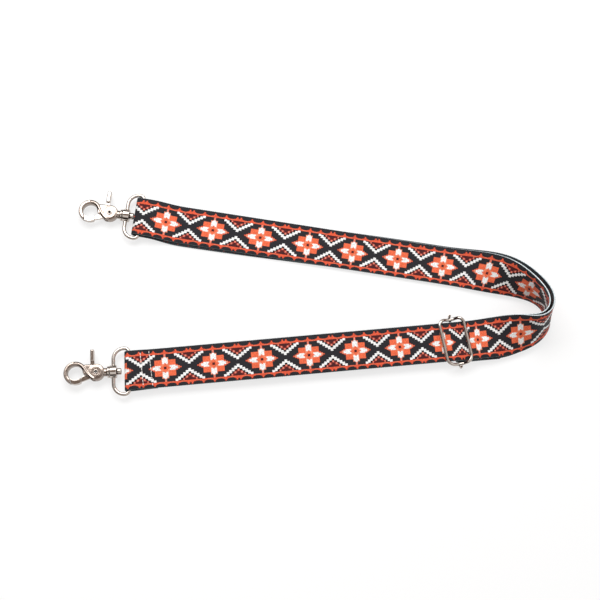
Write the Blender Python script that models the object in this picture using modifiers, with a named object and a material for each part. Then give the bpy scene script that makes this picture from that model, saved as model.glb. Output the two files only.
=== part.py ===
"""A detachable bag strap: one long webbing that lies doubled round a bend, a wire slider that sets
its length, and at each end a ring with a swivelling trigger snap. Metres, +Z up, lying on z = 0."""

import math

import bmesh
import bpy
import numpy as np
from mathutils import Vector

MM = 0.001

# Webbing
WEBBING_WIDTH = 38 * MM
WEBBING_THICKNESS = 1.6 * MM
CLEARANCE = 0.3 * MM

# Route of the doubled webbing in plan, from the upper ring's bar to the lower ring's bar
UPPER_BAR_X = -160.4 * MM
UPPER_BAR_Y = 76.0 * MM
UPPER_HEADING = math.radians(-9.4)
ROUTE_LENGTH = 813.6 * MM
GENTLE_TURN_AT = 360.3 * MM
GENTLE_TURN_REACH = 85 * MM
GENTLE_TURN = math.radians(-32.6)
TIGHT_TURN_AT = 414.2 * MM
TIGHT_TURN_REACH = 43.2 * MM
TIGHT_TURN = math.radians(-132.7)
RISE_AT = 357.4 * MM
RISE_REACH = 74.3 * MM
SETTLE_AT = 443 * MM
SETTLE_REACH = 56 * MM
BEND_SPREAD = 1.0 * MM
ROUTE_STEPS = 1600

# The under layer of the upper strand lies a little askew
UNDER_SKEW_START = -2.4 * MM
UNDER_SKEW_END = 1.6 * MM
SKEW_LEVEL_AT = 300 * MM
SKEW_GONE_AT = 520 * MM

# Where the webbing is divided into stretches, along the route
UPPER_FOLD_LENGTH = 45 * MM
BEND_START = 270 * MM
LOWER_FOLD_LENGTH = 30 * MM
TAIL_LENGTH = 26 * MM

# Ring wire, boss and clasp, lengths measured from the centre of the hook's eye towards the strap
RING_WIRE_RADIUS = 1.8 * MM
RING_SIDE_PLAY = 1.3 * MM
RING_BACK_CORNER = 4 * MM
RING_FRONT_CORNER = 10 * MM
BAR_FROM_EYE = 49.7 * MM
BOSS_RADIUS = 6.2 * MM
BOSS_LENGTH = 6.5 * MM
BOSS_CENTRE_FROM_EYE = 35.3 * MM
EYE_RADIUS = 7 * MM
EYE_RIM = 4 * MM
HOOK_THICKNESS = 7 * MM
HOOK_EDGE_ROUND = 1.3 * MM
CHEEK_RADIUS = 8 * MM
RIVET_FROM_EYE = 19.3 * MM
RIVET_RADIUS = 1.5 * MM
RIVET_HEAD_RADIUS = 2.6 * MM
RIVET_HEAD_HEIGHT = 0.6 * MM
CHEEK_THICKNESS = 6.6 * MM
BRIDGE_THICKNESS = 6.2 * MM
BRIDGE_SHARE = 0.98
BRIDGE_START_SHARE = 0.25
NECK_RADIUS = 4 * MM
NECK_FLAT_SHARE = 0.9
NECK_END_FROM_EYE = 29.3 * MM
COLLAR_RADIUS = 5.5 * MM
COLLAR_LENGTH = 2 * MM
POST_RADIUS = 2.2 * MM
POST_HEAD_RADIUS = 3.2 * MM
POST_HEAD_LENGTH = 4 * MM
RUNNING_GAP = 0.25 * MM

# Gate of the clasp
GATE_THICKNESS = 3 * MM
GATE_ARM_THICKNESS = 2.6 * MM
LEVER_STEM_THICKNESS = 2.8 * MM
GATE_HUB_RADIUS = 6 * MM
GATE_RIM_THICKNESS = 5.6 * MM
GATE_TIP_REACH = 25.0 * MM
GATE_TIP_LEVEL = 4.9 * MM
GATE_OPENING = math.radians(18)
SEAM_STEPS = 4
TIP_DEPTH_SHARE = 0.88
ARM_SEAT_SHARE = 0.8
ARM_HEEL_SHARE = 0.5
RIM_ROUND_SHARE = 0.8
SLOT_BACK_SHARE = 0.8
SLOT_SIDE_SHARE = 0.6
WINDOW_HEEL_SHARE = 1 / 3
WINDOW_CLEAR_SHARES = (0.5, 0.25)
ARM_INNER_SWEEP = (332, 275)
ARM_OUTER_SWEEP = (278, 308)
RIM_INNER_END = 318
RIM_OUTER_END = 300
TIP_TURN = 3
LEVER_CENTRE_FROM_EYE = 15.9 * MM
LEVER_WIDTH = 3.8 * MM
LEVER_REACH = 22 * MM
PAD_START = 10.5 * MM
PAD_HEIGHT = 6.4 * MM
SPRING_WIRE_RADIUS = 0.3 * MM
SPRING_COIL_RADIUS = 2.2 * MM
SPRING_TURNS = 2.5
SPRING_PITCH = 0.72 * MM
SPRING_POCKET_RADIUS = 2.9 * MM
SPRING_LEG = 2.2 * MM
SPRING_STEPS = 12
SPRING_LEG_ROOM_SHARE = 3
PAD_ROUND_SHARE = 0.25
COLLAR_ROUND_SHARE = 0.2
POST_HEAD_ROUND_SHARE = 1 / 3
BOSS_ROUND_SHARE = 0.5

# Slider
SLIDER_FROM_LOWER_BAR = 306.4 * MM
SLIDER_WIRE_RADIUS = 1.5 * MM
SLIDER_BAR_RADIUS = 1.3 * MM
SLIDER_LENGTH = 26 * MM
SLIDER_SIDE_PLAY = 1.5 * MM
SLIDER_CORNER = 6 * MM
SLIDER_SKEW = math.radians(5.5)
RUN_PAST_SLIDER = 18 * MM
LIFT_LENGTH = 45 * MM
LOOP_LENGTH = 40 * MM
BAR_TIP_RISE = 3.2 * MM
BAR_BEND_SHARE = 2
RAIL_DIP_SHARE = 0.5

# Where each clasp points, and how far the webbing's fold stands off the ring's bar
LOWER_CLASP_HEADING = math.radians(3.0)
UPPER_CLASP_HEADING = math.radians(-7.3)
LOWER_FOLD_SLACK = 0.4 * MM
UPPER_FOLD_SLACK = 3 * MM

# Heights that follow from the sizes above
LAYER_PITCH = WEBBING_THICKNESS + CLEARANCE
CLASP_AXIS_HEIGHT = BOSS_RADIUS
FLAT_LOW = WEBBING_THICKNESS / 2
FLAT_HIGH = FLAT_LOW + LAYER_PITCH
SLIDER_BAR_HEIGHT = WEBBING_THICKNESS + CLEARANCE + SLIDER_BAR_RADIUS
BAR_STANDOFF = SLIDER_BAR_RADIUS + CLEARANCE + WEBBING_THICKNESS / 2
RUN_HEIGHT = SLIDER_BAR_HEIGHT + BAR_STANDOFF + LAYER_PITCH
SLIDER_FRAME_HEIGHT = RUN_HEIGHT + WEBBING_THICKNESS / 2 + CLEARANCE + SLIDER_WIRE_RADIUS
RAIL_HEIGHT = SLIDER_BAR_HEIGHT + SLIDER_BAR_RADIUS + CLEARANCE + SLIDER_WIRE_RADIUS
RING_HALF_SPAN = WEBBING_WIDTH / 2 + RING_SIDE_PLAY + RING_WIRE_RADIUS
SLIDER_HALF_SPAN = WEBBING_WIDTH / 2 + SLIDER_SIDE_PLAY + SLIDER_WIRE_RADIUS
OVERRUN = 2 * MM

LOWER_HEADING = UPPER_HEADING + GENTLE_TURN + TIGHT_TURN
LOWER_SIDE_PLAN = LOWER_HEADING + math.pi

for scene_object in list(bpy.data.objects):
    bpy.data.objects.remove(scene_object)


def collection(name):
    made = bpy.data.collections.new(name)
    bpy.context.scene.collection.children.link(made)
    return made


STRAP = collection("bag_strap")
CUTTERS = collection("cutters")


def material(name, red, green, blue, roughness, metallic):
    made = bpy.data.materials.new(name)
    made.use_nodes = True
    shader = made.node_tree.nodes["Principled BSDF"]
    shader.inputs["Base Color"].default_value = (red, green, blue, 1)
    shader.inputs["Roughness"].default_value = roughness
    shader.inputs["Metallic"].default_value = metallic
    made.diffuse_color = (red, green, blue, 1)
    return made


WEBBING = material("jacquard_webbing", 0.10, 0.06, 0.06, 0.9, 0)
NICKEL = material("polished_nickel", 0.72, 0.69, 0.66, 0.18, 1)
SPRING_STEEL = material("spring_steel", 0.45, 0.45, 0.47, 0.35, 1)


def empty(name, place, turn=0.0, parent=None):
    made = bpy.data.objects.new(name, None)
    made.location = place
    made.rotation_euler = (0, 0, turn)
    made.parent = parent
    STRAP.objects.link(made)
    return made


LAYOUT = empty("layout", (0, 0, 0))


def add_mesh(name, shape, finish, parent, place=(0, 0, 0), cutter=False):
    """Links a bmesh as a named object, shaded smooth up to sharp edges."""
    mesh = bpy.data.meshes.new(name)
    shape.to_mesh(mesh)
    shape.free()
    mesh.shade_smooth()
    mesh.set_sharp_from_angle(angle=math.radians(35))
    made = bpy.data.objects.new(name, mesh)
    made.location = place
    made.parent = parent
    if cutter:
        made.hide_render = True
        made.display_type = "WIRE"
        CUTTERS.objects.link(made)
    else:
        mesh.materials.append(finish)
        STRAP.objects.link(made)
    return made


def curve_mesh(curve, name, finish, parent, place=(0, 0, 0), cutter=False):
    """Turns a curve into a closed mesh, its caps welded, so that it can be cut or joined."""
    guide = bpy.data.objects.new(name + "_curve", curve)
    STRAP.objects.link(guide)
    depsgraph = bpy.context.evaluated_depsgraph_get()
    mesh = bpy.data.meshes.new_from_object(guide.evaluated_get(depsgraph))
    bpy.data.objects.remove(guide)
    bpy.data.curves.remove(curve)
    shape = bmesh.new()
    shape.from_mesh(mesh)
    bpy.data.meshes.remove(mesh)
    bmesh.ops.remove_doubles(shape, verts=shape.verts, dist=0.001 * MM)
    bmesh.ops.recalc_face_normals(shape, faces=shape.faces)
    return add_mesh(name, shape, finish, parent, place, cutter)


def wire(points, radius, closed=False):
    """A round wire through the points, as a curve."""
    curve = bpy.data.curves.new("wire", "CURVE")
    curve.dimensions = "3D"
    curve.bevel_depth = radius
    curve.bevel_resolution = 2
    curve.use_fill_caps = not closed
    spline = curve.splines.new("POLY")
    spline.points.add(len(points) - 1)
    for point, place in zip(spline.points, points):
        point.co = (*place, 1)
    spline.use_cyclic_u = closed
    return curve


def plate(outlines, thickness):
    """A flat plate of the given thickness, centred on z = 0; outlines after the first are holes."""
    curve = bpy.data.curves.new("plate", "CURVE")
    curve.dimensions = "2D"
    curve.fill_mode = "BOTH"
    curve.extrude = thickness / 2
    for outline in outlines:
        spline = curve.splines.new("POLY")
        spline.points.add(len(outline) - 1)
        for point, (x, y) in zip(spline.points, outline):
            point.co = (x, y, 0, 1)
        spline.use_cyclic_u = True
    return curve


def cylinder(
    name, radius, start, end, finish, parent, place=(0, 0, 0), along="Z", cutter=False, sides=32
):
    """A round bar from start to end along X or Z of its parent."""
    shape = bmesh.new()
    bmesh.ops.create_cone(
        shape, cap_ends=True, segments=sides, radius1=radius, radius2=radius, depth=end - start
    )
    middle = (start + end) / 2
    for vertex in shape.verts:
        x, y, z = vertex.co
        vertex.co = (z + middle, y, -x) if along == "X" else (x, y, z + middle)
    return add_mesh(name, shape, finish, parent, place, cutter)


def block(name, low, high, parent, place=(0, 0, 0)):
    """A box that another piece is joined with or cut by."""
    shape = bmesh.new()
    bmesh.ops.create_cube(shape, size=1)
    centre = (Vector(low) + Vector(high)) / 2
    sides = Vector(high) - Vector(low)
    for vertex in shape.verts:
        vertex.co = Vector([c * s for c, s in zip(vertex.co, sides)]) + centre
    return add_mesh(name, shape, None, parent, place, cutter=True)


def boolean(target, tool, operation):
    step = target.modifiers.new(tool.name, "BOOLEAN")
    step.operation = operation
    step.object = tool
    step.solver = "EXACT"


def rounded(target, width):
    edge = target.modifiers.new("rounded edge", "BEVEL")
    edge.width = width
    edge.segments = 2
    edge.limit_method = "ANGLE"
    edge.angle_limit = math.radians(50)


def arc(centre_x, centre_y, radius, start, end, steps):
    """Points of an arc, both ends included, angles in degrees."""
    angles = [math.radians(start + (end - start) * i / steps) for i in range(steps + 1)]
    return [(centre_x + radius * math.cos(a), centre_y + radius * math.sin(a)) for a in angles]


def ease(value):
    """0 before -1, 1 after +1, with a smooth change between."""
    value = min(max(value, -1), 1)
    return 0.5 * (1 + value + math.sin(math.pi * value) / math.pi)


def between(value, start, end):
    """How far value is from start to end, eased at both ends."""
    return ease(2 * (value - start) / (end - start) - 1)


def heading(distance):
    gentle = ease((distance - GENTLE_TURN_AT) / GENTLE_TURN_REACH)
    tight = ease((distance - TIGHT_TURN_AT) / TIGHT_TURN_REACH)
    return UPPER_HEADING + GENTLE_TURN * gentle + TIGHT_TURN * tight


def lean(distance):
    """0 flat with the pattern up, a quarter turn on edge at the bend, a half turn on the lower strand."""
    rise = ease((distance - RISE_AT) / RISE_REACH)
    settle = ease((distance - SETTLE_AT) / SETTLE_REACH)
    return math.pi / 2 * (rise + settle)


ROUTE_AT = np.linspace(0, ROUTE_LENGTH, ROUTE_STEPS + 1)
ROUTE_HEADINGS = np.array([heading(distance) for distance in ROUTE_AT])
ROUTE_STRIDE = ROUTE_LENGTH / ROUTE_STEPS


def walked(direction, start):
    strides = (direction[1:] + direction[:-1]) / 2 * ROUTE_STRIDE
    return start + np.concatenate([[0], np.cumsum(strides)])


ROUTE_X = walked(np.cos(ROUTE_HEADINGS), UPPER_BAR_X)
ROUTE_Y = walked(np.sin(ROUTE_HEADINGS), UPPER_BAR_Y)


def layer_shift(distance):
    """How far the under layer of the upper strand lies to the side there."""
    level = between(distance, 0, SKEW_LEVEL_AT)
    return UNDER_SKEW_START + (UNDER_SKEW_END - UNDER_SKEW_START) * level


def layer(distance, side):
    """Centre and width direction of a layer: side +1 is the upper strand's top layer, the bend's
    inner one; side -1 is the other."""
    turn = heading(distance)
    tilt = lean(distance)
    along = Vector((math.cos(turn), math.sin(turn), 0))
    left = Vector((-math.sin(turn), math.cos(turn), 0))
    across = left * math.cos(tilt) + Vector((0, 0, math.sin(tilt)))
    face = along.cross(across)
    spread = BEND_SPREAD * math.sin(tilt)
    ground = WEBBING_WIDTH / 2 * math.sin(tilt) + WEBBING_THICKNESS + CLEARANCE / 2 + spread * abs(math.cos(tilt))
    centre = Vector((np.interp(distance, ROUTE_AT, ROUTE_X), np.interp(distance, ROUTE_AT, ROUTE_Y), ground))
    centre += face * side * (LAYER_PITCH / 2 + spread)
    if side < 0:
        gone = between(distance, TIGHT_TURN_AT, SKEW_GONE_AT)
        centre += across * layer_shift(distance) * (1 - gone)
        lift_end = ROUTE_LENGTH - SLIDER_FROM_LOWER_BAR - RUN_PAST_SLIDER
        centre.z += (RUN_HEIGHT - FLAT_HIGH) * between(distance, lift_end - LIFT_LENGTH, lift_end)
    return centre, across


def ribbon(name, rows, parent):
    """Webbing through the rows, each a centre and a width direction, as a strip given its thickness."""
    shape = bmesh.new()
    bmesh.ops.create_grid(shape, x_segments=len(rows) - 1, y_segments=1, size=1)
    for vertex in shape.verts:
        centre, across = rows[round((vertex.co.x + 1) / 2 * (len(rows) - 1))]
        vertex.co = centre + across * (vertex.co.y * WEBBING_WIDTH / 2)
    made = add_mesh(name, shape, WEBBING, parent)
    shell = made.modifiers.new("webbing thickness", "SOLIDIFY")
    shell.thickness = WEBBING_THICKNESS
    shell.offset = 0
    return made


def stretch(name, start, end, side, steps):
    distances = [start + (end - start) * i / steps for i in range(steps + 1)]
    return ribbon(name, [layer(distance, side) for distance in distances], LAYOUT)


def fold_profile(standoff, bar_height, slack, high_end, low_end):
    """Side view of webbing folded round a bar: (distance behind the bar, height), from the end of its
    upper leg round the bar to the end of its lower leg. Each end is a (distance, height) pair."""
    leg_steps = 8
    turn_steps = 12
    start = [i / leg_steps for i in range(leg_steps)]
    upper = [
        (high_end[0] * (1 - t), high_end[1] + (bar_height + standoff - high_end[1]) * between(t, 0, 1))
        for t in start
    ]
    nose = arc(-slack, bar_height, standoff, 90, 270, turn_steps)
    back = [(i + 1) / leg_steps for i in range(leg_steps)]
    lower = [
        (low_end[0] * t, low_end[1] + (bar_height - standoff - low_end[1]) * (1 - between(t, 0, 1)))
        for t in back
    ]
    return upper + nose + lower


def fold_rows(profile, bar, away, bar_turn, low_shift=0.0):
    """Rows of a fold round a bar at the plan point bar; away is the way its legs run, and the fold
    shears so that it stays parallel to a bar that is turned by bar_turn."""
    along = Vector((math.cos(away), math.sin(away), 0))
    left = Vector((-math.sin(away), math.cos(away), 0))
    reach = max(abs(distance) for distance, _ in profile)
    rows = []
    for index, (distance, height) in enumerate(profile):
        near = 1 - between(abs(distance), 0, reach)
        across = left - along * math.tan(bar_turn) * near
        below = index > len(profile) / 2
        shift = low_shift * between(distance, 0, reach) if below else 0
        rows.append((Vector((*bar, 0)) + along * distance + left * shift + Vector((0, 0, height)), across))
    return rows


def webbing():
    """The one long webbing, in the stretches that lie straight, bend or fold."""
    end = ROUTE_LENGTH - LOWER_FOLD_LENGTH
    run_start = ROUTE_LENGTH - SLIDER_FROM_LOWER_BAR - RUN_PAST_SLIDER
    loop_start = ROUTE_LENGTH - SLIDER_FROM_LOWER_BAR - LOOP_LENGTH
    top_start = UPPER_FOLD_LENGTH + CLEARANCE
    stretch("webbing_upper_top", top_start, BEND_START, 1, 6)
    stretch("webbing_upper_under", top_start, BEND_START, -1, 12)
    stretch("webbing_bend_inner", BEND_START + CLEARANCE, loop_start - CLEARANCE, 1, 72)
    stretch("webbing_bend_outer", BEND_START + CLEARANCE, run_start, -1, 72)
    stretch("webbing_lower_run", run_start + CLEARANCE, end - CLEARANCE, -1, 6)

    ring_standoff = RING_WIRE_RADIUS + CLEARANCE + WEBBING_THICKNESS / 2
    upper_bar = (UPPER_BAR_X, UPPER_BAR_Y)
    profile = fold_profile(
        ring_standoff, CLASP_AXIS_HEIGHT, UPPER_FOLD_SLACK, (UPPER_FOLD_LENGTH, FLAT_HIGH), (UPPER_FOLD_LENGTH, FLAT_LOW)
    )
    shift = layer_shift(UPPER_FOLD_LENGTH)
    bar_turn = UPPER_CLASP_HEADING - UPPER_HEADING
    ribbon("webbing_upper_fold", fold_rows(profile, upper_bar, UPPER_HEADING, bar_turn, shift), LAYOUT)

    lower_bar = (ROUTE_X[-1], ROUTE_Y[-1])
    profile = fold_profile(
        ring_standoff, CLASP_AXIS_HEIGHT, LOWER_FOLD_SLACK, (LOWER_FOLD_LENGTH, RUN_HEIGHT),
        (TAIL_LENGTH, RUN_HEIGHT - LAYER_PITCH),
    )
    bar_turn = LOWER_CLASP_HEADING - LOWER_SIDE_PLAN
    ribbon("webbing_lower_fold", fold_rows(profile, lower_bar, LOWER_SIDE_PLAN, bar_turn), LAYOUT)


def rounded_frame(near, far, half_span, near_corner, far_corner, corner_steps=6):
    """A closed rectangle in plan from near to far along X, its four corners as arcs."""
    points = arc(far - far_corner, half_span - far_corner, far_corner, 0, 90, corner_steps)
    points += arc(near + near_corner, half_span - near_corner, near_corner, 90, 180, corner_steps)
    points += arc(near + near_corner, near_corner - half_span, near_corner, 180, 270, corner_steps)
    points += arc(far - far_corner, far_corner - half_span, far_corner, 270, 360, corner_steps)
    return points


def slider():
    """A wire frame that rides over the run, and a centre bar under it that carries the sewn end."""
    back = ROUTE_LENGTH - SLIDER_FROM_LOWER_BAR
    place = (np.interp(back, ROUTE_AT, ROUTE_X), np.interp(back, ROUTE_AT, ROUTE_Y), 0)
    carriage = empty("slider_carriage", place, LOWER_SIDE_PLAN, LAYOUT)
    turned = empty("slider_turn", (0, 0, 0), SLIDER_SKEW, carriage)

    half_length = SLIDER_LENGTH / 2 - SLIDER_WIRE_RADIUS
    points = []
    rail_steps = 6
    outline = rounded_frame(-half_length, half_length, SLIDER_HALF_SPAN, SLIDER_CORNER, SLIDER_CORNER)
    rail_reach = half_length - SLIDER_CORNER
    quarter = len(outline) // 4
    rail_xs = [rail_reach * (1 - 2 * i / rail_steps) for i in range(1, rail_steps)]
    plan = outline[:quarter] + [(x, SLIDER_HALF_SPAN) for x in rail_xs]
    plan += outline[quarter:3 * quarter] + [(-x, -SLIDER_HALF_SPAN) for x in rail_xs] + outline[3 * quarter:]
    for x, y in plan:
        dip = (SLIDER_FRAME_HEIGHT - RAIL_HEIGHT) * (1 - between(abs(x), 0, half_length))
        beside = between(abs(y), WEBBING_WIDTH / 2 - SLIDER_CORNER * RAIL_DIP_SHARE, SLIDER_HALF_SPAN)
        points.append((x, y, SLIDER_FRAME_HEIGHT - dip * beside))
    curve_mesh(wire(points, SLIDER_WIRE_RADIUS, closed=True), "slider_frame", NICKEL, turned)

    reach = SLIDER_HALF_SPAN + SLIDER_WIRE_RADIUS + CLEARANCE + SLIDER_BAR_RADIUS
    bend = SLIDER_BAR_RADIUS * BAR_BEND_SHARE
    side = arc(reach - bend, SLIDER_BAR_HEIGHT + bend, bend, 270, 360, 5)
    tip = [(reach, SLIDER_BAR_HEIGHT + bend + BAR_TIP_RISE)]
    half = side + tip
    points = [(0, -y, z) for y, z in reversed(half)] + [(0, y, z) for y, z in half]
    curve_mesh(wire(points, SLIDER_BAR_RADIUS), "slider_centre_bar", NICKEL, turned)

    profile = fold_profile(BAR_STANDOFF, SLIDER_BAR_HEIGHT, 0, (TAIL_LENGTH, FLAT_HIGH), (LOOP_LENGTH, FLAT_LOW))
    ribbon("webbing_slider_loop", fold_rows(profile, (0, 0), 0, SLIDER_SKEW), carriage)


def ring(side, bar):
    """The clasp's ring, lying round the webbing's fold, with the boss that the swivel post turns in."""
    front = BOSS_CENTRE_FROM_EYE - BAR_FROM_EYE
    plan = rounded_frame(front, 0, RING_HALF_SPAN, RING_FRONT_CORNER, RING_BACK_CORNER)
    made = curve_mesh(
        wire([(x, y, 0) for x, y in plan], RING_WIRE_RADIUS, closed=True), side + "_ring", NICKEL, bar
    )
    near = front - BOSS_LENGTH / 2
    far = front + BOSS_LENGTH / 2
    boss = cylinder(side + "_boss", BOSS_RADIUS, near, far, NICKEL, bar, along="X", cutter=True)
    rounded(boss, HOOK_EDGE_ROUND * BOSS_ROUND_SHARE)
    boolean(made, boss, "UNION")
    bore = cylinder(
        side + "_boss_bore", POST_RADIUS + RUNNING_GAP, near - OVERRUN, far + OVERRUN, None, bar, along="X", cutter=True
    )
    boolean(made, bore, "DIFFERENCE")


def turned_rim(name, finish, parent):
    """The hook's eye: a rounded section turned about the vertical through its centre."""
    centre = EYE_RADIUS + EYE_RIM / 2
    inset = EYE_RIM / 2 - HOOK_EDGE_ROUND
    rise = HOOK_THICKNESS / 2 - HOOK_EDGE_ROUND
    corner_steps = 3
    section = arc(centre + inset, rise, HOOK_EDGE_ROUND, 90, 0, corner_steps)
    section += arc(centre + inset, -rise, HOOK_EDGE_ROUND, 0, -90, corner_steps)
    section += arc(centre - inset, -rise, HOOK_EDGE_ROUND, 270, 180, corner_steps)
    section += arc(centre - inset, rise, HOOK_EDGE_ROUND, 180, 90, corner_steps)
    shape = bmesh.new()
    corners = [shape.verts.new((x, 0, z)) for x, z in section]
    for first, second in zip(corners, corners[1:] + corners[:1]):
        shape.edges.new((first, second))
    made = add_mesh(name, shape, finish, parent)
    turn = made.modifiers.new("turned eye", "SCREW")
    turn.angle = 2 * math.pi
    turn.steps = 44
    turn.render_steps = 44
    turn.use_merge_vertices = True
    turn.merge_threshold = 0.01 * MM
    return made


def seam_curve(reach, levels):
    """Points on the circle that the gate's tip swings on, at the given distances below the axis."""
    return [(RIVET_FROM_EYE - math.sqrt(reach**2 - level**2), -level) for level in levels]


def hook_body(side, eye):
    """The fixed hook: an open eye, two cheeks with the gate's slot between them, and the neck."""
    body = turned_rim(side + "_hook_body", NICKEL, eye)
    half = CHEEK_THICKNESS / 2
    cheek = cylinder(side + "_cheek", CHEEK_RADIUS, -half, half, None, eye, (RIVET_FROM_EYE, 0, 0), cutter=True, sides=48)
    rounded(cheek, HOOK_EDGE_ROUND)
    boolean(body, cheek, "UNION")
    half = BRIDGE_THICKNESS / 2
    low = (EYE_RADIUS + EYE_RIM * BRIDGE_START_SHARE, -CHEEK_RADIUS * BRIDGE_SHARE, -half)
    high = (RIVET_FROM_EYE, CHEEK_RADIUS * BRIDGE_SHARE, half)
    bridge = block(side + "_bridge", low, high, eye)
    rounded(bridge, HOOK_EDGE_ROUND)
    boolean(body, bridge, "UNION")
    neck_start = RIVET_FROM_EYE + CHEEK_RADIUS - OVERRUN
    neck = cylinder(side + "_neck", NECK_RADIUS, neck_start, NECK_END_FROM_EYE, None, eye, along="X", cutter=True)
    neck.scale = (1, 1, min(1, CHEEK_THICKNESS / 2 / NECK_RADIUS * NECK_FLAT_SHARE))
    boolean(body, neck, "UNION")

    rim = EYE_RADIUS + EYE_RIM
    out = rim + OVERRUN
    swing = GATE_TIP_REACH + CLEARANCE
    seam_depth = rim - GATE_TIP_LEVEL
    levels = [GATE_TIP_LEVEL - CLEARANCE + seam_depth * i / SEAM_STEPS for i in range(SEAM_STEPS + 1)]
    window = [(0, -levels[0])] + seam_curve(swing, levels) + [(-EYE_RADIUS / 2, -out)]
    heel = RIVET_FROM_EYE - CHEEK_RADIUS * WINDOW_HEEL_SHARE
    outer_clear, inner_clear = [OVERRUN * share for share in WINDOW_CLEAR_SHARES]
    window += [(RIVET_FROM_EYE - outer_clear, -out), (heel, -CHEEK_RADIUS), (EYE_RADIUS - inner_clear, 0)]
    cutter = curve_mesh(plate([window], 2 * HOOK_THICKNESS), side + "_gate_window", None, eye, cutter=True)
    boolean(body, cutter, "DIFFERENCE")

    slot = GATE_THICKNESS + 2 * CLEARANCE
    hub = GATE_HUB_RADIUS + CLEARANCE
    cutter = cylinder(side + "_hub_slot", hub, -slot / 2, slot / 2, None, eye, (RIVET_FROM_EYE, 0, 0), cutter=True)
    boolean(body, cutter, "DIFFERENCE")
    opened_rim = EYE_RADIUS * math.sin(GATE_OPENING) + CLEARANCE
    arm_sweep = [(EYE_RADIUS / 2, -out), (heel, -out)]
    arm_sweep += [(RIVET_FROM_EYE, -GATE_HUB_RADIUS), (RIVET_FROM_EYE, hub / 2)]
    arm_sweep += [(RIVET_FROM_EYE - hub * SLOT_BACK_SHARE, hub * SLOT_SIDE_SHARE), (EYE_RADIUS / 2, opened_rim)]
    cutter = curve_mesh(plate([arm_sweep], slot), side + "_arm_slot", None, eye, cutter=True)
    boolean(body, cutter, "DIFFERENCE")
    lever_out = CHEEK_RADIUS + EYE_RIM
    lever_left = LEVER_CENTRE_FROM_EYE - LEVER_WIDTH / 2 - CLEARANCE
    lever_right = LEVER_CENTRE_FROM_EYE + LEVER_WIDTH / 2 + CLEARANCE
    swung = lever_right + lever_out * math.sin(GATE_OPENING)
    lever_sweep = [(lever_left, lever_out), (lever_left, 0), (lever_right, 0), (lever_right + OVERRUN, 0)]
    lever_sweep += [(swung, lever_out)]
    cutter = curve_mesh(plate([lever_sweep], slot), side + "_lever_slot", None, eye, cutter=True)
    boolean(body, cutter, "DIFFERENCE")

    bore = cylinder(
        side + "_rivet_bore", RIVET_RADIUS + RUNNING_GAP, -HOOK_THICKNESS, HOOK_THICKNESS, None, eye,
        (RIVET_FROM_EYE, 0, 0), cutter=True,
    )
    boolean(body, bore, "DIFFERENCE")
    post_bore = cylinder(
        side + "_post_bore", POST_RADIUS + RUNNING_GAP, RIVET_FROM_EYE + CHEEK_RADIUS, NECK_END_FROM_EYE + OVERRUN,
        None, eye, along="X", cutter=True,
    )
    boolean(body, post_bore, "DIFFERENCE")


def rivet(side, eye):
    """The rivet that the gate turns on, with a low head on each cheek."""
    shank = HOOK_THICKNESS / 2 + CLEARANCE
    made = cylinder(
        side + "_gate_rivet", RIVET_RADIUS, -shank - RIVET_HEAD_HEIGHT / 2, shank + RIVET_HEAD_HEIGHT / 2, NICKEL,
        eye, (RIVET_FROM_EYE, 0, 0), sides=24,
    )
    for up in (1, -1):
        low, high = sorted((up * shank, up * (shank + RIVET_HEAD_HEIGHT)))
        head = cylinder(
            f"{side}_rivet_head_{'top' if up > 0 else 'bottom'}", RIVET_HEAD_RADIUS, low, high, NICKEL, eye,
            (RIVET_FROM_EYE, 0, 0), cutter=True, sides=24,
        )
        boolean(made, head, "UNION")


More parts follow.
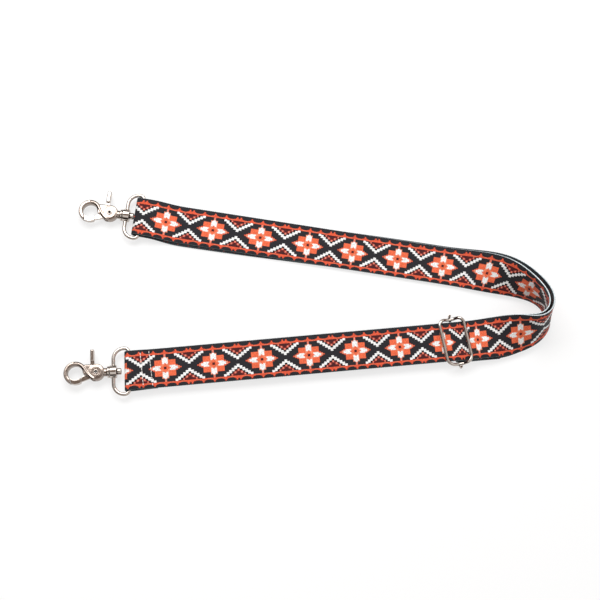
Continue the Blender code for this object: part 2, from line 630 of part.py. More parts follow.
def gate(side, eye):
    """The sprung gate: a rim that closes the eye, an arm and hub on the rivet, and the thumb lever."""
    pivot = empty(side + "_gate_pivot", (RIVET_FROM_EYE, 0, 0), 0, eye)
    from_pivot = (-RIVET_FROM_EYE, 0, 0)
    rim = EYE_RADIUS + EYE_RIM
    outer = rim - CLEARANCE
    seam_depth = (rim - GATE_TIP_LEVEL) * TIP_DEPTH_SHARE
    levels = [GATE_TIP_LEVEL + seam_depth * i / SEAM_STEPS for i in range(SEAM_STEPS + 1)]
    tip = seam_curve(GATE_TIP_REACH, levels)
    tip_angle = math.degrees(math.atan2(tip[-1][1], tip[-1][0])) % 360
    start = math.degrees(math.asin(GATE_TIP_LEVEL / EYE_RADIUS)) + 180
    seat = GATE_HUB_RADIUS * ARM_SEAT_SHARE
    arm = arc(0, 0, EYE_RADIUS + CLEARANCE, *ARM_INNER_SWEEP, 8)
    arm += arc(0, 0, outer - CLEARANCE, *ARM_OUTER_SWEEP, 5)
    arm += [(RIVET_FROM_EYE - GATE_HUB_RADIUS * ARM_HEEL_SHARE, -seat), (RIVET_FROM_EYE, -RIVET_RADIUS)]
    arm += [(RIVET_FROM_EYE - seat, 0)]
    flat = curve_mesh(plate([arm], GATE_ARM_THICKNESS), side + "_gate", NICKEL, pivot, from_pivot)
    thick_inner = arc(0, 0, EYE_RADIUS, RIM_INNER_END, start, 11)
    thick_outer = arc(0, 0, outer, tip_angle + TIP_TURN, RIM_OUTER_END, 10)
    thick = curve_mesh(
        plate([thick_inner + tip + thick_outer], GATE_RIM_THICKNESS), side + "_gate_rim", None, pivot, from_pivot,
        cutter=True,
    )
    rounded(thick, HOOK_EDGE_ROUND * RIM_ROUND_SHARE)
    boolean(flat, thick, "UNION")
    hub = cylinder(
        side + "_gate_hub", GATE_HUB_RADIUS, -GATE_THICKNESS / 2, GATE_THICKNESS / 2, None, pivot, cutter=True, sides=40
    )
    boolean(flat, hub, "UNION")
    left = LEVER_CENTRE_FROM_EYE - LEVER_WIDTH / 2
    right = LEVER_CENTRE_FROM_EYE + LEVER_WIDTH / 2
    half = LEVER_STEM_THICKNESS / 2
    stem = block(side + "_lever_stem", (left, 0, -half), (right, LEVER_REACH - LEVER_WIDTH, half), pivot, from_pivot)
    boolean(flat, stem, "UNION")
    pad = block(
        side + "_lever_pad", (left, PAD_START, -PAD_HEIGHT / 2), (right, LEVER_REACH, PAD_HEIGHT / 2), pivot, from_pivot
    )
    rounded(pad, LEVER_WIDTH * PAD_ROUND_SHARE)
    boolean(flat, pad, "UNION")

    bore = cylinder(
        side + "_gate_bore", RIVET_RADIUS + RUNNING_GAP, -HOOK_THICKNESS, HOOK_THICKNESS, None, pivot, cutter=True
    )
    boolean(flat, bore, "DIFFERENCE")
    spring_height = SPRING_TURNS * SPRING_PITCH
    pocket_floor = GATE_THICKNESS / 2 - spring_height - 2 * SPRING_WIRE_RADIUS
    pocket = cylinder(
        side + "_spring_pocket", SPRING_POCKET_RADIUS, pocket_floor, GATE_THICKNESS, None, pivot, cutter=True
    )
    boolean(flat, pocket, "DIFFERENCE")
    leg_room = SPRING_WIRE_RADIUS * SPRING_LEG_ROOM_SHARE
    leg_swing = (SPRING_COIL_RADIUS + SPRING_LEG) * math.sin(GATE_OPENING)
    channel = block(
        side + "_spring_channel", (0, -SPRING_COIL_RADIUS - leg_room, pocket_floor),
        (GATE_HUB_RADIUS + OVERRUN, SPRING_COIL_RADIUS + leg_swing + leg_room, GATE_THICKNESS), pivot,
    )
    boolean(flat, channel, "DIFFERENCE")

    bottom = pocket_floor + CLEARANCE + SPRING_WIRE_RADIUS
    points = [(SPRING_COIL_RADIUS + SPRING_LEG, -SPRING_COIL_RADIUS, bottom)]
    for index in range(round(SPRING_TURNS * SPRING_STEPS) + 1):
        angle = -math.pi / 2 - 2 * math.pi * index / SPRING_STEPS
        height = bottom + SPRING_PITCH * index / SPRING_STEPS
        points.append((SPRING_COIL_RADIUS * math.cos(angle), SPRING_COIL_RADIUS * math.sin(angle), height))
    points.append((SPRING_COIL_RADIUS + SPRING_LEG, SPRING_COIL_RADIUS, points[-1][2]))
    coil = wire(points, SPRING_WIRE_RADIUS)
    coil.bevel_resolution = 1
    curve_mesh(coil, side + "_gate_spring", SPRING_STEEL, pivot)


def swivel(side, eye):
    """Post fixed in the hook's neck, with its peened head behind the boss, and a collar between."""
    boss_near = BOSS_CENTRE_FROM_EYE - BOSS_LENGTH / 2
    boss_far = BOSS_CENTRE_FROM_EYE + BOSS_LENGTH / 2
    collar_end = boss_near - CLEARANCE
    collar = cylinder(
        side + "_swivel_collar", COLLAR_RADIUS, max(collar_end - COLLAR_LENGTH, NECK_END_FROM_EYE + CLEARANCE),
        collar_end, NICKEL, eye, along="X",
    )
    rounded(collar, COLLAR_LENGTH * COLLAR_ROUND_SHARE)
    bore = cylinder(
        side + "_collar_bore", POST_RADIUS + RUNNING_GAP, NECK_END_FROM_EYE, boss_near, None, eye, along="X",
        cutter=True,
    )
    boolean(collar, bore, "DIFFERENCE")
    post_start = RIVET_FROM_EYE + CHEEK_RADIUS + CLEARANCE
    head_start = boss_far + CLEARANCE
    post = cylinder(
        side + "_swivel_post", POST_RADIUS, post_start, head_start + CLEARANCE, NICKEL, eye, along="X", sides=24
    )
    head = cylinder(
        side + "_post_head", POST_HEAD_RADIUS, head_start, head_start + POST_HEAD_LENGTH, None, eye, along="X",
        cutter=True, sides=24,
    )
    rounded(head, POST_HEAD_RADIUS * POST_HEAD_ROUND_SHARE)
    boolean(post, head, "UNION")


def clasp(side, bar_plan, turn):
    """One end fitting: its ring hinges on the webbing's fold, its hook swivels in the ring's boss."""
    bar = empty(side + "_ring_bar", (*bar_plan, CLASP_AXIS_HEIGHT), turn, LAYOUT)
    ring(side, bar)
    eye = empty(side + "_hook_eye", (-BAR_FROM_EYE, 0, 0), 0, bar)
    hook_body(side, eye)
    rivet(side, eye)
    gate(side, eye)
    swivel(side, eye)


def centre_on_origin():
    """Moves the layout so that the world origin is under the middle of the strap's footprint."""
    bpy.context.view_layer.update()
    depsgraph = bpy.context.evaluated_depsgraph_get()
    corners = []
    for part in STRAP.objects:
        if part.type == "MESH":
            seen = part.evaluated_get(depsgraph)
            corners += [seen.matrix_world @ vertex.co for vertex in seen.data.vertices]
    lows = [min(corner[axis] for corner in corners) for axis in range(3)]
    highs = [max(corner[axis] for corner in corners) for axis in range(3)]
    LAYOUT.location = (-(lows[0] + highs[0]) / 2, -(lows[1] + highs[1]) / 2, -lows[2])
    bpy.context.view_layer.update()


webbing()
slider()
clasp("upper", (UPPER_BAR_X, UPPER_BAR_Y), UPPER_CLASP_HEADING)
clasp("lower", (ROUTE_X[-1], ROUTE_Y[-1]), LOWER_CLASP_HEADING)
centre_on_origin()
for guide in STRAP.objects:
    if guide.type == "EMPTY":
        place = [round(value / MM, 2) for value in guide.matrix_world.translation]
        print(guide.name, place, "mm, turned", round(math.degrees(guide.matrix_world.to_euler().z), 2), "degrees")
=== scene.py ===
# %% [markdown]
# # A detachable bag strap on a pale table
# One long jacquard webbing lies doubled and bends round at the right. A wire slider sets its
# length, and a ring with a swivelling trigger clasp ends it on the left, twice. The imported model
# is loaded first: it says where each piece is, and the pieces below ride on its bodies.

# %% Load the frame
import math

import bmesh
import bpy
import numpy as np
from mathutils import Matrix, Vector


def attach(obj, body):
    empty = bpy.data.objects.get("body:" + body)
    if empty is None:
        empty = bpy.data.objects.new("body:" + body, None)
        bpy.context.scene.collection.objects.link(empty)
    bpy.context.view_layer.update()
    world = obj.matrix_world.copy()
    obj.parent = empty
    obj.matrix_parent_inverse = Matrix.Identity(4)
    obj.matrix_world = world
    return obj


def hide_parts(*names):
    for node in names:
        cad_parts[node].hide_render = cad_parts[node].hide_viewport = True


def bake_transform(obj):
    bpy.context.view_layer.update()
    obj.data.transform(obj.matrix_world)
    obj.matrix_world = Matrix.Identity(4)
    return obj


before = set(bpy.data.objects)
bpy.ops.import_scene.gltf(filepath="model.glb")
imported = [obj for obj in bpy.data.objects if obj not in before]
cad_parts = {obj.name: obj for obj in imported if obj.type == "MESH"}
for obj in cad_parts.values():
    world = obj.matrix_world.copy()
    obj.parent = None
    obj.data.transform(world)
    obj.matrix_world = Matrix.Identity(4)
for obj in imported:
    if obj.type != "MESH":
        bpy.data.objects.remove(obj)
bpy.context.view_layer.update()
MM = 0.001

# %% [markdown]
# ## Sizes
# The strap is read from its real sizes: 38 mm webbing, 1.6 mm thick, with 0.3 mm between its two
# layers. The route runs from the upper ring's bar to the lower one's. It is a heading that turns
# twice, and a lean that stands the webbing on edge in the bend. Both change smoothly.

# %% Sizes of the webbing and its route
WEBBING_WIDTH = 38 * MM
WEBBING_THICKNESS = 1.6 * MM
CLEARANCE = 0.3 * MM
LAYER_PITCH = WEBBING_THICKNESS + CLEARANCE
WARP_PITCH, WEFT_PITCH = 0.77, 0.94
ROW_SPACING = WEFT_PITCH * MM
LAYOUT = Vector((-1.55 * MM, -0.32 * MM, 0))
UPPER_BAR = (-160.4 * MM, 76.0 * MM)
UPPER_HEADING = math.radians(-9.4)
ROUTE_LENGTH = 813.6 * MM
GENTLE_TURN_AT, GENTLE_TURN_REACH, GENTLE_TURN = 360.3 * MM, 85 * MM, math.radians(-32.6)
TIGHT_TURN_AT, TIGHT_TURN_REACH, TIGHT_TURN = 414.2 * MM, 43.2 * MM, math.radians(-132.7)
RISE_AT, RISE_REACH = 357.4 * MM, 74.3 * MM
SETTLE_AT, SETTLE_REACH = 443 * MM, 56 * MM
BEND_SPREAD = 1.0 * MM
UNDER_SKEW_START, UNDER_SKEW_END = -2.4 * MM, 1.6 * MM
SKEW_LEVEL_AT, SKEW_GONE_AT = 300 * MM, 520 * MM
UPPER_FOLD_LENGTH, LOWER_FOLD_LENGTH, TAIL_LENGTH = 45 * MM, 30 * MM, 26 * MM
SLIDER_FROM_LOWER_BAR = 306.4 * MM
RUN_PAST_SLIDER, LIFT_LENGTH, LOOP_LENGTH = 18 * MM, 45 * MM, 40 * MM
RING_WIRE_RADIUS, SLIDER_BAR_RADIUS, SLIDER_WIRE_RADIUS = 1.8 * MM, 1.3 * MM, 1.5 * MM
CLASP_AXIS_HEIGHT = 6.2 * MM
FLAT_LOW = WEBBING_THICKNESS / 2
FLAT_HIGH = FLAT_LOW + LAYER_PITCH
SLIDER_BAR_HEIGHT = WEBBING_THICKNESS + CLEARANCE + SLIDER_BAR_RADIUS
BAR_STANDOFF = SLIDER_BAR_RADIUS + CLEARANCE + WEBBING_THICKNESS / 2
RING_STANDOFF = RING_WIRE_RADIUS + CLEARANCE + WEBBING_THICKNESS / 2
RUN_HEIGHT = SLIDER_BAR_HEIGHT + BAR_STANDOFF + LAYER_PITCH
UPPER_FOLD_SLACK, LOWER_FOLD_SLACK = 3 * MM, 0.4 * MM
UPPER_CLASP_HEADING, LOWER_CLASP_HEADING = math.radians(-7.3), math.radians(3.0)
SLIDER_SKEW = math.radians(5.5)
LOWER_AWAY = UPPER_HEADING + GENTLE_TURN + TIGHT_TURN + math.pi


# %% Smooth steps, headings and the route in plan
def ease(value):
    """0 before -1, 1 after +1, with a smooth change between."""
    value = min(max(value, -1), 1)
    return 0.5 * (1 + value + math.sin(math.pi * value) / math.pi)


def between(value, start, end):
    return ease(2 * (value - start) / (end - start) - 1)


def heading(distance):
    gentle = ease((distance - GENTLE_TURN_AT) / GENTLE_TURN_REACH)
    tight = ease((distance - TIGHT_TURN_AT) / TIGHT_TURN_REACH)
    return UPPER_HEADING + GENTLE_TURN * gentle + TIGHT_TURN * tight


def lean(distance):
    rise = ease((distance - RISE_AT) / RISE_REACH)
    settle = ease((distance - SETTLE_AT) / SETTLE_REACH)
    return math.pi / 2 * (rise + settle)


ROUTE_STEPS = 1600
ROUTE_AT = np.linspace(0, ROUTE_LENGTH, ROUTE_STEPS + 1)
ROUTE_HEADINGS = np.array([heading(distance) for distance in ROUTE_AT])


def walked(direction, start):
    strides = (direction[1:] + direction[:-1]) / 2 * (ROUTE_LENGTH / ROUTE_STEPS)
    return start + np.concatenate([[0], np.cumsum(strides)])


ROUTE_X = walked(np.cos(ROUTE_HEADINGS), UPPER_BAR[0])
ROUTE_Y = walked(np.sin(ROUTE_HEADINGS), UPPER_BAR[1])
LOWER_BAR = (ROUTE_X[-1], ROUTE_Y[-1])
SLIDER_AT = ROUTE_LENGTH - SLIDER_FROM_LOWER_BAR


def plan_at(distance):
    return np.interp(distance, ROUTE_AT, ROUTE_X), np.interp(distance, ROUTE_AT, ROUTE_Y)


def plan_ways(turn):
    """The way along a heading in plan, and the way to its left."""
    return Vector((math.cos(turn), math.sin(turn), 0)), Vector((-math.sin(turn), math.cos(turn), 0))


SLIDER_PLAN = plan_at(SLIDER_AT)
print("lower ring bar at", [round(value / MM, 1) for value in LOWER_BAR], "mm")


# %% Rows of the doubled webbing: a centre and a width direction at each distance
def layer_shift(distance):
    level = between(distance, 0, SKEW_LEVEL_AT)
    return UNDER_SKEW_START + (UNDER_SKEW_END - UNDER_SKEW_START) * level


def layer_row(distance, side):
    """side +1 is the upper strand's top layer, which is the bend's inner one; side -1 is the other."""
    tilt = lean(distance)
    along, left = plan_ways(heading(distance))
    across = left * math.cos(tilt) + Vector((0, 0, math.sin(tilt)))
    spread = BEND_SPREAD * math.sin(tilt)
    ground = WEBBING_WIDTH / 2 * math.sin(tilt) + LAYER_PITCH - CLEARANCE / 2 + spread * abs(math.cos(tilt))
    centre = Vector((*plan_at(distance), ground))
    centre += along.cross(across) * side * (LAYER_PITCH / 2 + spread)
    if side < 0:
        gone = between(distance, TIGHT_TURN_AT, SKEW_GONE_AT)
        centre += across * layer_shift(distance) * (1 - gone)
        lift_end = SLIDER_AT - RUN_PAST_SLIDER
        centre.z += (RUN_HEIGHT - FLAT_HIGH) * between(distance, lift_end - LIFT_LENGTH, lift_end)
    return centre + LAYOUT, across


def fold_rows(bar, away, bar_height, standoff, slack, high_end, low_end, bar_turn, low_shift):
    """Rows round a bar, from the end of the upper leg, round the nose, to the end of the lower leg."""
    high_length, high_at = high_end
    low_length, low_at = low_end
    count = round(high_length / ROW_SPACING)
    side = [
        (high_length * (1 - i / count), high_at + (bar_height + standoff - high_at) * between(i / count, 0, 1))
        for i in range(count)
    ]
    turns = max(12, round(math.pi * standoff / ROW_SPACING))
    for i in range(turns + 1):
        angle = math.pi / 2 + math.pi * i / turns
        side.append((-slack + standoff * math.cos(angle), bar_height + standoff * math.sin(angle)))
    nose = len(side)
    count = round(low_length / ROW_SPACING)
    for i in range(1, count + 1):
        drop = 1 - between(i / count, 0, 1)
        side.append((low_length * i / count, low_at + (bar_height - standoff - low_at) * drop))
    along, left = plan_ways(away)
    reach = max(high_length, low_length)
    rows = []
    for index, (distance, height) in enumerate(side):
        near = 1 - between(abs(distance), 0, reach)
        shift = low_shift * between(distance, 0, reach) if index >= nose else 0
        centre = Vector((*bar, height)) + along * distance + left * shift
        rows.append((centre + LAYOUT, left - along * math.tan(bar_turn) * near))
    return rows


def layer_rows(start, end, side):
    count = max(1, round(abs(end - start) / ROW_SPACING))
    return [layer_row(start + (end - start) * i / count, side) for i in range(count + 1)]


# %% [markdown]
# ## Helpers
# Small functions that the rest is written with. The first turns a hex colour into the linear values
# that shaders want, and the second adds a node with its settings and links. The others start a
# material or a Geometry Nodes tree with named inputs, turn a bmesh into a mesh, link a mesh as an
# object, and make a plain mesh of what a hidden guide shows.

# %% Helpers
MATH = "ShaderNodeMath"
VECTOR = "ShaderNodeVectorMath"
MAP_RANGE = "ShaderNodeMapRange"
MIX, OF_COLOURS = "ShaderNodeMix", {"data_type": "RGBA", "output": 2}
WELD_DISTANCE = 1e-7


def linear(hex_colour):
    values = [int(hex_colour[i:i + 2], 16) / 255 for i in (1, 3, 5)]
    return (*[v / 12.92 if v <= 0.04045 else ((v + 0.055) / 1.055) ** 2.4 for v in values], 1)


def add(tree, kind, inputs=(), output=0, **settings):
    """Adds a node, sets it up, fills its inputs with values or links, and gives one output back."""
    made = tree.nodes.new(kind)
    for name, value in settings.items():
        setattr(made, name, value)
    named = inputs.items() if isinstance(inputs, dict) else enumerate(inputs)
    for key, value in named:
        if isinstance(value, bpy.types.NodeSocket):
            tree.links.new(value, made.inputs[key])
        else:
            made.inputs[key].default_value = value
    return made.outputs[output] if made.outputs else made


def new_material(name, **values):
    made = bpy.data.materials.new(name)
    made.use_nodes = True
    shader = made.node_tree.nodes["Principled BSDF"]
    for key, value in values.items():
        shader.inputs[key.replace("_", " ")].default_value = value
    return made, made.node_tree, shader


def finished(name, shape):
    """A mesh with what a bmesh holds."""
    mesh = bpy.data.meshes.new(name)
    shape.to_mesh(mesh)
    shape.free()
    return mesh


def modifier_tree(name, sockets, result):
    """Starts a Geometry Nodes tree with named inputs, and gives it with their links."""
    tree = bpy.data.node_groups.new(name, "GeometryNodeTree")
    tree.is_modifier = True
    for label, kind, value in sockets:
        socket = tree.interface.new_socket(label, in_out="INPUT", socket_type="NodeSocket" + kind)
        if value is not None:
            socket.default_value = value
    tree.interface.new_socket(result, in_out="OUTPUT", socket_type="NodeSocketGeometry")
    return tree, tree.nodes.new("NodeGroupInput").outputs


def link_mesh(name, mesh, *finishes):
    made = bpy.data.objects.new(name, mesh)
    bpy.context.scene.collection.objects.link(made)
    for finish in finishes:
        mesh.materials.append(finish)
    return made


def mesh_from(guide):
    """A plain mesh of what a guide shows with its modifiers; the guide itself is removed."""
    bpy.context.view_layer.update()
    depsgraph = bpy.context.evaluated_depsgraph_get()
    mesh = bpy.data.meshes.new_from_object(guide.evaluated_get(depsgraph), depsgraph=depsgraph)
    bpy.data.objects.remove(guide)
    return mesh


def grown(guide, tree, **values):
    """The plain mesh that a Geometry Nodes tree makes from a guide, with its inputs set by name."""
    modifier = guide.modifiers.new(tree.name, "NODES")
    modifier.node_group = tree
    for item in tree.interface.items_tree:
        key = item.name.replace(" ", "_")
        if item.item_type == "SOCKET" and item.in_out == "INPUT" and key in values:
            modifier[item.identifier] = values[key]
    return mesh_from(guide)


# %% [markdown]
# ## The camera
# The photograph looks down at about 72 degrees from well back, so the far strand is hardly
# smaller than the near one. The place and the lens were fitted to the strap's edges.

# %% Camera
CAMERA_PLACE = (-0.00825, -0.408, 1.2364)
CAMERA_TILT = math.radians(18)
LENS_MM, SENSOR_MM = 81.9, 36

camera_data = bpy.data.cameras.new("camera")
camera_data.lens, camera_data.sensor_width = LENS_MM, SENSOR_MM
camera_data.clip_end = 10
camera = bpy.data.objects.new("camera", camera_data)
camera.location = CAMERA_PLACE
camera.rotation_euler = (CAMERA_TILT, 0, 0)
bpy.context.scene.collection.objects.link(camera)
bpy.context.scene.camera = camera

# %% [markdown]
# ## The jacquard
# The webbing is woven polyester with its picture in the weave. The picture repeats every 45 mm: a
# white and orange flower, and stepped white chevrons half a repeat away. It is made by a rule. Two
# folded distances, one along the repeat and one across the width, are compared with stepped
# outlines, and those steps are the stair edges of the weave. Both distances are stored on the
# webbing in millimetres, so that the picture follows each bend and fold. It was woven a little off
# the webbing's middle. Both selvages are the same thread. The one outside in the bend is painted
# pale as a highlight, and the other one is painted dark as shade.

# %% Jacquard: colours, and the outlines of its figures in millimetres
GROUND, ORANGE, SOFT_ORANGE, BORDER = "#211F25", "#F05E3C", "#FA7048", "#F06E4E"
CREAM, PINK, ROSE, DARK_RED, MAROON, BLACK = "#FFFFFE", "#FA9470", "#F48870", "#8E1E1A", "#4A1014", "#130F15"
# The two selvages are one thread: the outer colour is a painted highlight, and the inner one is painted shade.
OUTER_SELVAGE_HIGHLIGHT, INNER_SELVAGE_SHADE, BACK = "#E4EFF3", "#5C676B", "#343D42"
REPEAT = 45.0
OFF_CENTRE = 0.8
HALF_REPEAT = REPEAT / 2
SPIKES_AT = (0.0, 10.35, 20.8)
BORDER_FROM, BORDER_TO, SPIKE_FOOT, SPIKE_BASE, SPIKE_TOP = 13.4, 14.7, 15.1, 15.9, 17.3
# colour, run, from, to, rise, low start, low end, high start, high end, steps
FIGURES = [
    (BLACK, "chevron", -1.2, 13.6, "across", 4.0, 12.5, 13.6, 13.6, 5),
    (MAROON, "chevron", -1.0, 7.2, "across", 7.1, 11.4, BORDER_FROM, BORDER_FROM, 3),
    (DARK_RED, "chevron", -1.0, 7.2, "across", 7.1, 11.4, 9.2, 13.5, 3),
    (ROSE, "chevron", 0, 0.9, "across", 7.1, 7.1, 8.9, 8.9, 1),
    (ROSE, "chevron", 2.2, 3.9, "across", 9.3, 9.3, 11.1, 11.1, 1),
    (ROSE, "chevron", 5.3, 6.6, "across", 11.5, 11.5, 12.9, 12.9, 1),
    (CREAM, "chevron", -1.2, 13.6, "across", 2.2, 11.2, 5.3, 14.3, 5),
    (SOFT_ORANGE, "flower", 3.2, 9.8, "across", 0, 0, 7.8, 7.8, 1),
    (ORANGE, "flower", 9.8, 15.2, "across", 0, 0, 2.7, 0.6, 2),
    (PINK, "across", 0, 10.2, "flower", 0, 0, 3.2, 3.2, 1),
    (PINK, "flower", 3.2, 9.8, "across", 0, 0, 2.7, 2.7, 1),
    (CREAM, "across", 4.0, 9.3, "flower", 0, 0, 2.6, 2.6, 1),
    (CREAM, "across", 9.3, 10.4, "flower", 0, 0, 1.2, 1.2, 1),
    (CREAM, "flower", 4.3, 9.4, "across", 0, 0, 2.3, 2.3, 1),
    (CREAM, "flower", 9.2, 11.6, "across", 0, 0, 1.3, 1.3, 1),
    (PINK, "flower", 11.6, 13.4, "across", 0, 0, 1.2, 1.2, 1),
    (ROSE, "across", 10.4, 14.0, "flower", 0, 0, 0.9, 0.9, 1),
    (SOFT_ORANGE, "flower", 0, 5.2, "across", 0, 0, 0.7, 0.7, 1),
    (SOFT_ORANGE, "across", 0, 4.8, "flower", 0, 0, 0.7, 0.7, 1),
    (SOFT_ORANGE, "flower", 0, 3.6, "across", 0, 0, 3.6, 1.3, 2),
    (MAROON, "flower", 0, 1.2, "across", 0, 0, 1.2, 1.2, 1),
    (BORDER, "flower", 0, 22.6, "across", BORDER_FROM, BORDER_FROM, BORDER_TO, BORDER_TO, 1),
] + [
    (ORANGE, f"spike {place}", 0, half_width, "across", BORDER_FROM, BORDER_FROM, middle, end, 1)
    for half_width, middle, end in ((3.2, SPIKE_BASE, SPIKE_FOOT), (0.7, SPIKE_TOP, SPIKE_TOP))
    for place in SPIKES_AT
]
SELVAGE_BELOW, BACK_BELOW, BACK_SHARE = 0.75, -0.5, 0.8


# %% Jacquard: the folded distances, the figures painted over each other, and the relief of threads with painted shade between them
def jacquard(name):
    """Starts the webbing's material with its picture; also gives the places that the weave needs."""
    finish, tree, shader = new_material(
        name, Roughness=0.72, Specular_IOR_Level=0.3, Sheen_Weight=0.12, Sheen_Roughness=0.4
    )
    weave = add(tree, "ShaderNodeAttribute", attribute_name="weave_mm", output="Vector")
    along = add(tree, "ShaderNodeSeparateXYZ", (weave,))
    across, side = along.node.outputs["Y"], along.node.outputs["Z"]
    across = add(tree, MATH, (across, OFF_CENTRE), operation="ADD")
    runs = {"flower": add(tree, MATH, (along, HALF_REPEAT), operation="PINGPONG")}
    runs["across"] = add(tree, MATH, (across,), operation="ABSOLUTE")
    runs["chevron"] = add(tree, MATH, (HALF_REPEAT, runs["flower"]), operation="SUBTRACT")
    for place in SPIKES_AT:
        apart = add(tree, MATH, (runs["flower"], place), operation="SUBTRACT")
        runs[f"spike {place}"] = add(tree, MATH, (apart,), operation="ABSOLUTE")
    picture = linear(GROUND)
    for colour, run, start, end, rise, low_start, low_end, high_start, high_end, steps in FIGURES:
        inside = add(tree, MATH, (runs[run], (start + end) / 2, (end - start) / 2), operation="COMPARE")
        for first, last, kept in ((low_start, low_end, "GREATER_THAN"), (high_start, high_end, "LESS_THAN")):
            if first == last == 0:
                continue
            outline = first
            if first != last:
                stairs = {"Value": runs[run], "From Min": start, "From Max": end, "To Min": first, "To Max": last}
                stairs["Steps"] = steps
                outline = add(tree, MAP_RANGE, stairs, interpolation_type="STEPPED")
            beyond = add(tree, MATH, (runs[rise], outline), operation=kept)
            inside = add(tree, MATH, (inside, beyond), operation="MULTIPLY")
        picture = add(tree, MIX, {0: inside, 6: picture, 7: linear(colour)}, **OF_COLOURS)
    return finish, tree, shader, picture, along, across, side


def woven(name):
    """The jacquard on the face, a plain back, selvages with a painted highlight and painted shade, and threads
    that stand up a little with painted shade between them.
    """
    finish, tree, shader, picture, along, across, side = jacquard(name)
    edge = add(tree, MATH, (side,), operation="ABSOLUTE")
    edge = add(tree, MATH, (edge, SELVAGE_BELOW), operation="LESS_THAN")
    # painted light on the selvages: a pale highlight on the outer one, dark shade on the inner one
    outer = add(tree, MATH, (across, 0.0), operation="GREATER_THAN")
    selvage = {0: outer, 6: linear(INNER_SELVAGE_SHADE), 7: linear(OUTER_SELVAGE_HIGHLIGHT)}
    selvage = add(tree, MIX, selvage, **OF_COLOURS)
    colour = add(tree, MIX, {0: edge, 6: picture, 7: selvage}, **OF_COLOURS)
    back = add(tree, MATH, (side, BACK_BELOW), operation="LESS_THAN")
    back = add(tree, MATH, (back, BACK_SHARE), operation="MULTIPLY")
    colour = add(tree, MIX, {0: back, 6: colour, 7: linear(BACK)}, **OF_COLOURS)

    weft = add(tree, MATH, (along, WEFT_PITCH), operation="DIVIDE")
    warp = add(tree, MATH, (across, WARP_PITCH), operation="DIVIDE")
    row = add(tree, MATH, (warp,), operation="FLOOR")
    stagger = add(tree, MATH, (row, 0.5, weft), operation="MULTIPLY_ADD")
    stitch = add(tree, MATH, (stagger,), operation="FLOOR")
    cell = add(tree, "ShaderNodeCombineXYZ", (stitch, row, 0.0))
    chance = add(tree, "ShaderNodeTexWhiteNoise", (cell,), noise_dimensions="3D", output="Value")
    threads = []
    for place in (warp, stagger):
        wave = add(tree, MATH, (place, math.pi), operation="MULTIPLY")
        wave = add(tree, MATH, (wave,), operation="SINE")
        threads.append(add(tree, MATH, (wave,), operation="ABSOLUTE"))
    height = add(tree, MATH, threads, operation="MULTIPLY")
    height = add(tree, MATH, (height, 0.6), operation="POWER")
    # painted shade between the threads and a slight painted highlight on their tops; the bump below gives the
    # real relief
    shade = add(tree, MAP_RANGE, {"Value": height, "To Min": 0.5, "To Max": 1.14})
    vary = add(tree, MAP_RANGE, {"Value": chance, "To Min": 0.8, "To Max": 1.12})
    shade = add(tree, MATH, (shade, vary), operation="MULTIPLY")
    colour = add(tree, VECTOR, {0: colour, "Scale": shade}, operation="SCALE")
    tree.links.new(colour, shader.inputs["Base Color"])
    bump = add(tree, "ShaderNodeBump", {"Strength": 0.7, "Distance": 0.00022, "Height": height}, output="Normal")
    tree.links.new(bump, shader.inputs["Normal"])
    return finish


WEBBING = woven("jacquard_polyester_webbing")

# %% [markdown]
# ## The webbing
# The strap is one length of webbing, about 1.4 m long, so it is made along one path: from its
# sewn end round the slider's bar, through the bend to the upper ring and back, over the slider and
# to the lower ring. The path is a list of rows, each with a centre and a width direction. Geometry
# Nodes sweep a rounded section along them. A plain swept curve would twist by its own rule, while
# rows say exactly how the webbing lies, and their spacing of one weft thread leaves the small
# loops of the selvage on both edges.

# %% The webbing's section, with its rounded selvages
SECTION_EDGE_POINTS = 5
SECTION_FLAT_POINTS = 9
SELVAGE_LOOP, EDGE_BELOW = 0.16 * MM, 0.95


def section_points():
    """The section's outline as (place across, place through the thickness), closed by its first point."""
    radius, flat = WEBBING_THICKNESS / 2, WEBBING_WIDTH / 2 - WEBBING_THICKNESS / 2
    points = []
    for side in (1, -1):
        for i in range(SECTION_FLAT_POINTS):
            points.append((side * flat * (2 * i / SECTION_FLAT_POINTS - 1), side * radius))
        for i in range(SECTION_EDGE_POINTS):
            angle = side * math.pi / 2 - math.pi * i / SECTION_EDGE_POINTS
            points.append((side * flat + radius * math.cos(angle), radius * math.sin(angle)))
    return points + points[:1]


def guide_mesh(name, points, **attributes):
    """A hidden guide: points joined by edges, with a vector stored on each."""
    mesh = bpy.data.meshes.new(name)
    mesh.from_pydata([tuple(point) for point in points], [(i, i + 1) for i in range(len(points) - 1)], [])
    for key, values in attributes.items():
        stored = mesh.attributes.new(key, "FLOAT_VECTOR", "POINT")
        stored.data.foreach_set("vector", np.array([tuple(value) for value in values], np.float32).ravel())
    guide = bpy.data.objects.new(name, mesh)
    bpy.context.scene.collection.objects.link(guide)
    guide.hide_render = True
    return guide


SECTION = guide_mesh("webbing_section", [(0, y, z) for y, z in section_points()])
SECTION_COUNT = len(SECTION.data.vertices)


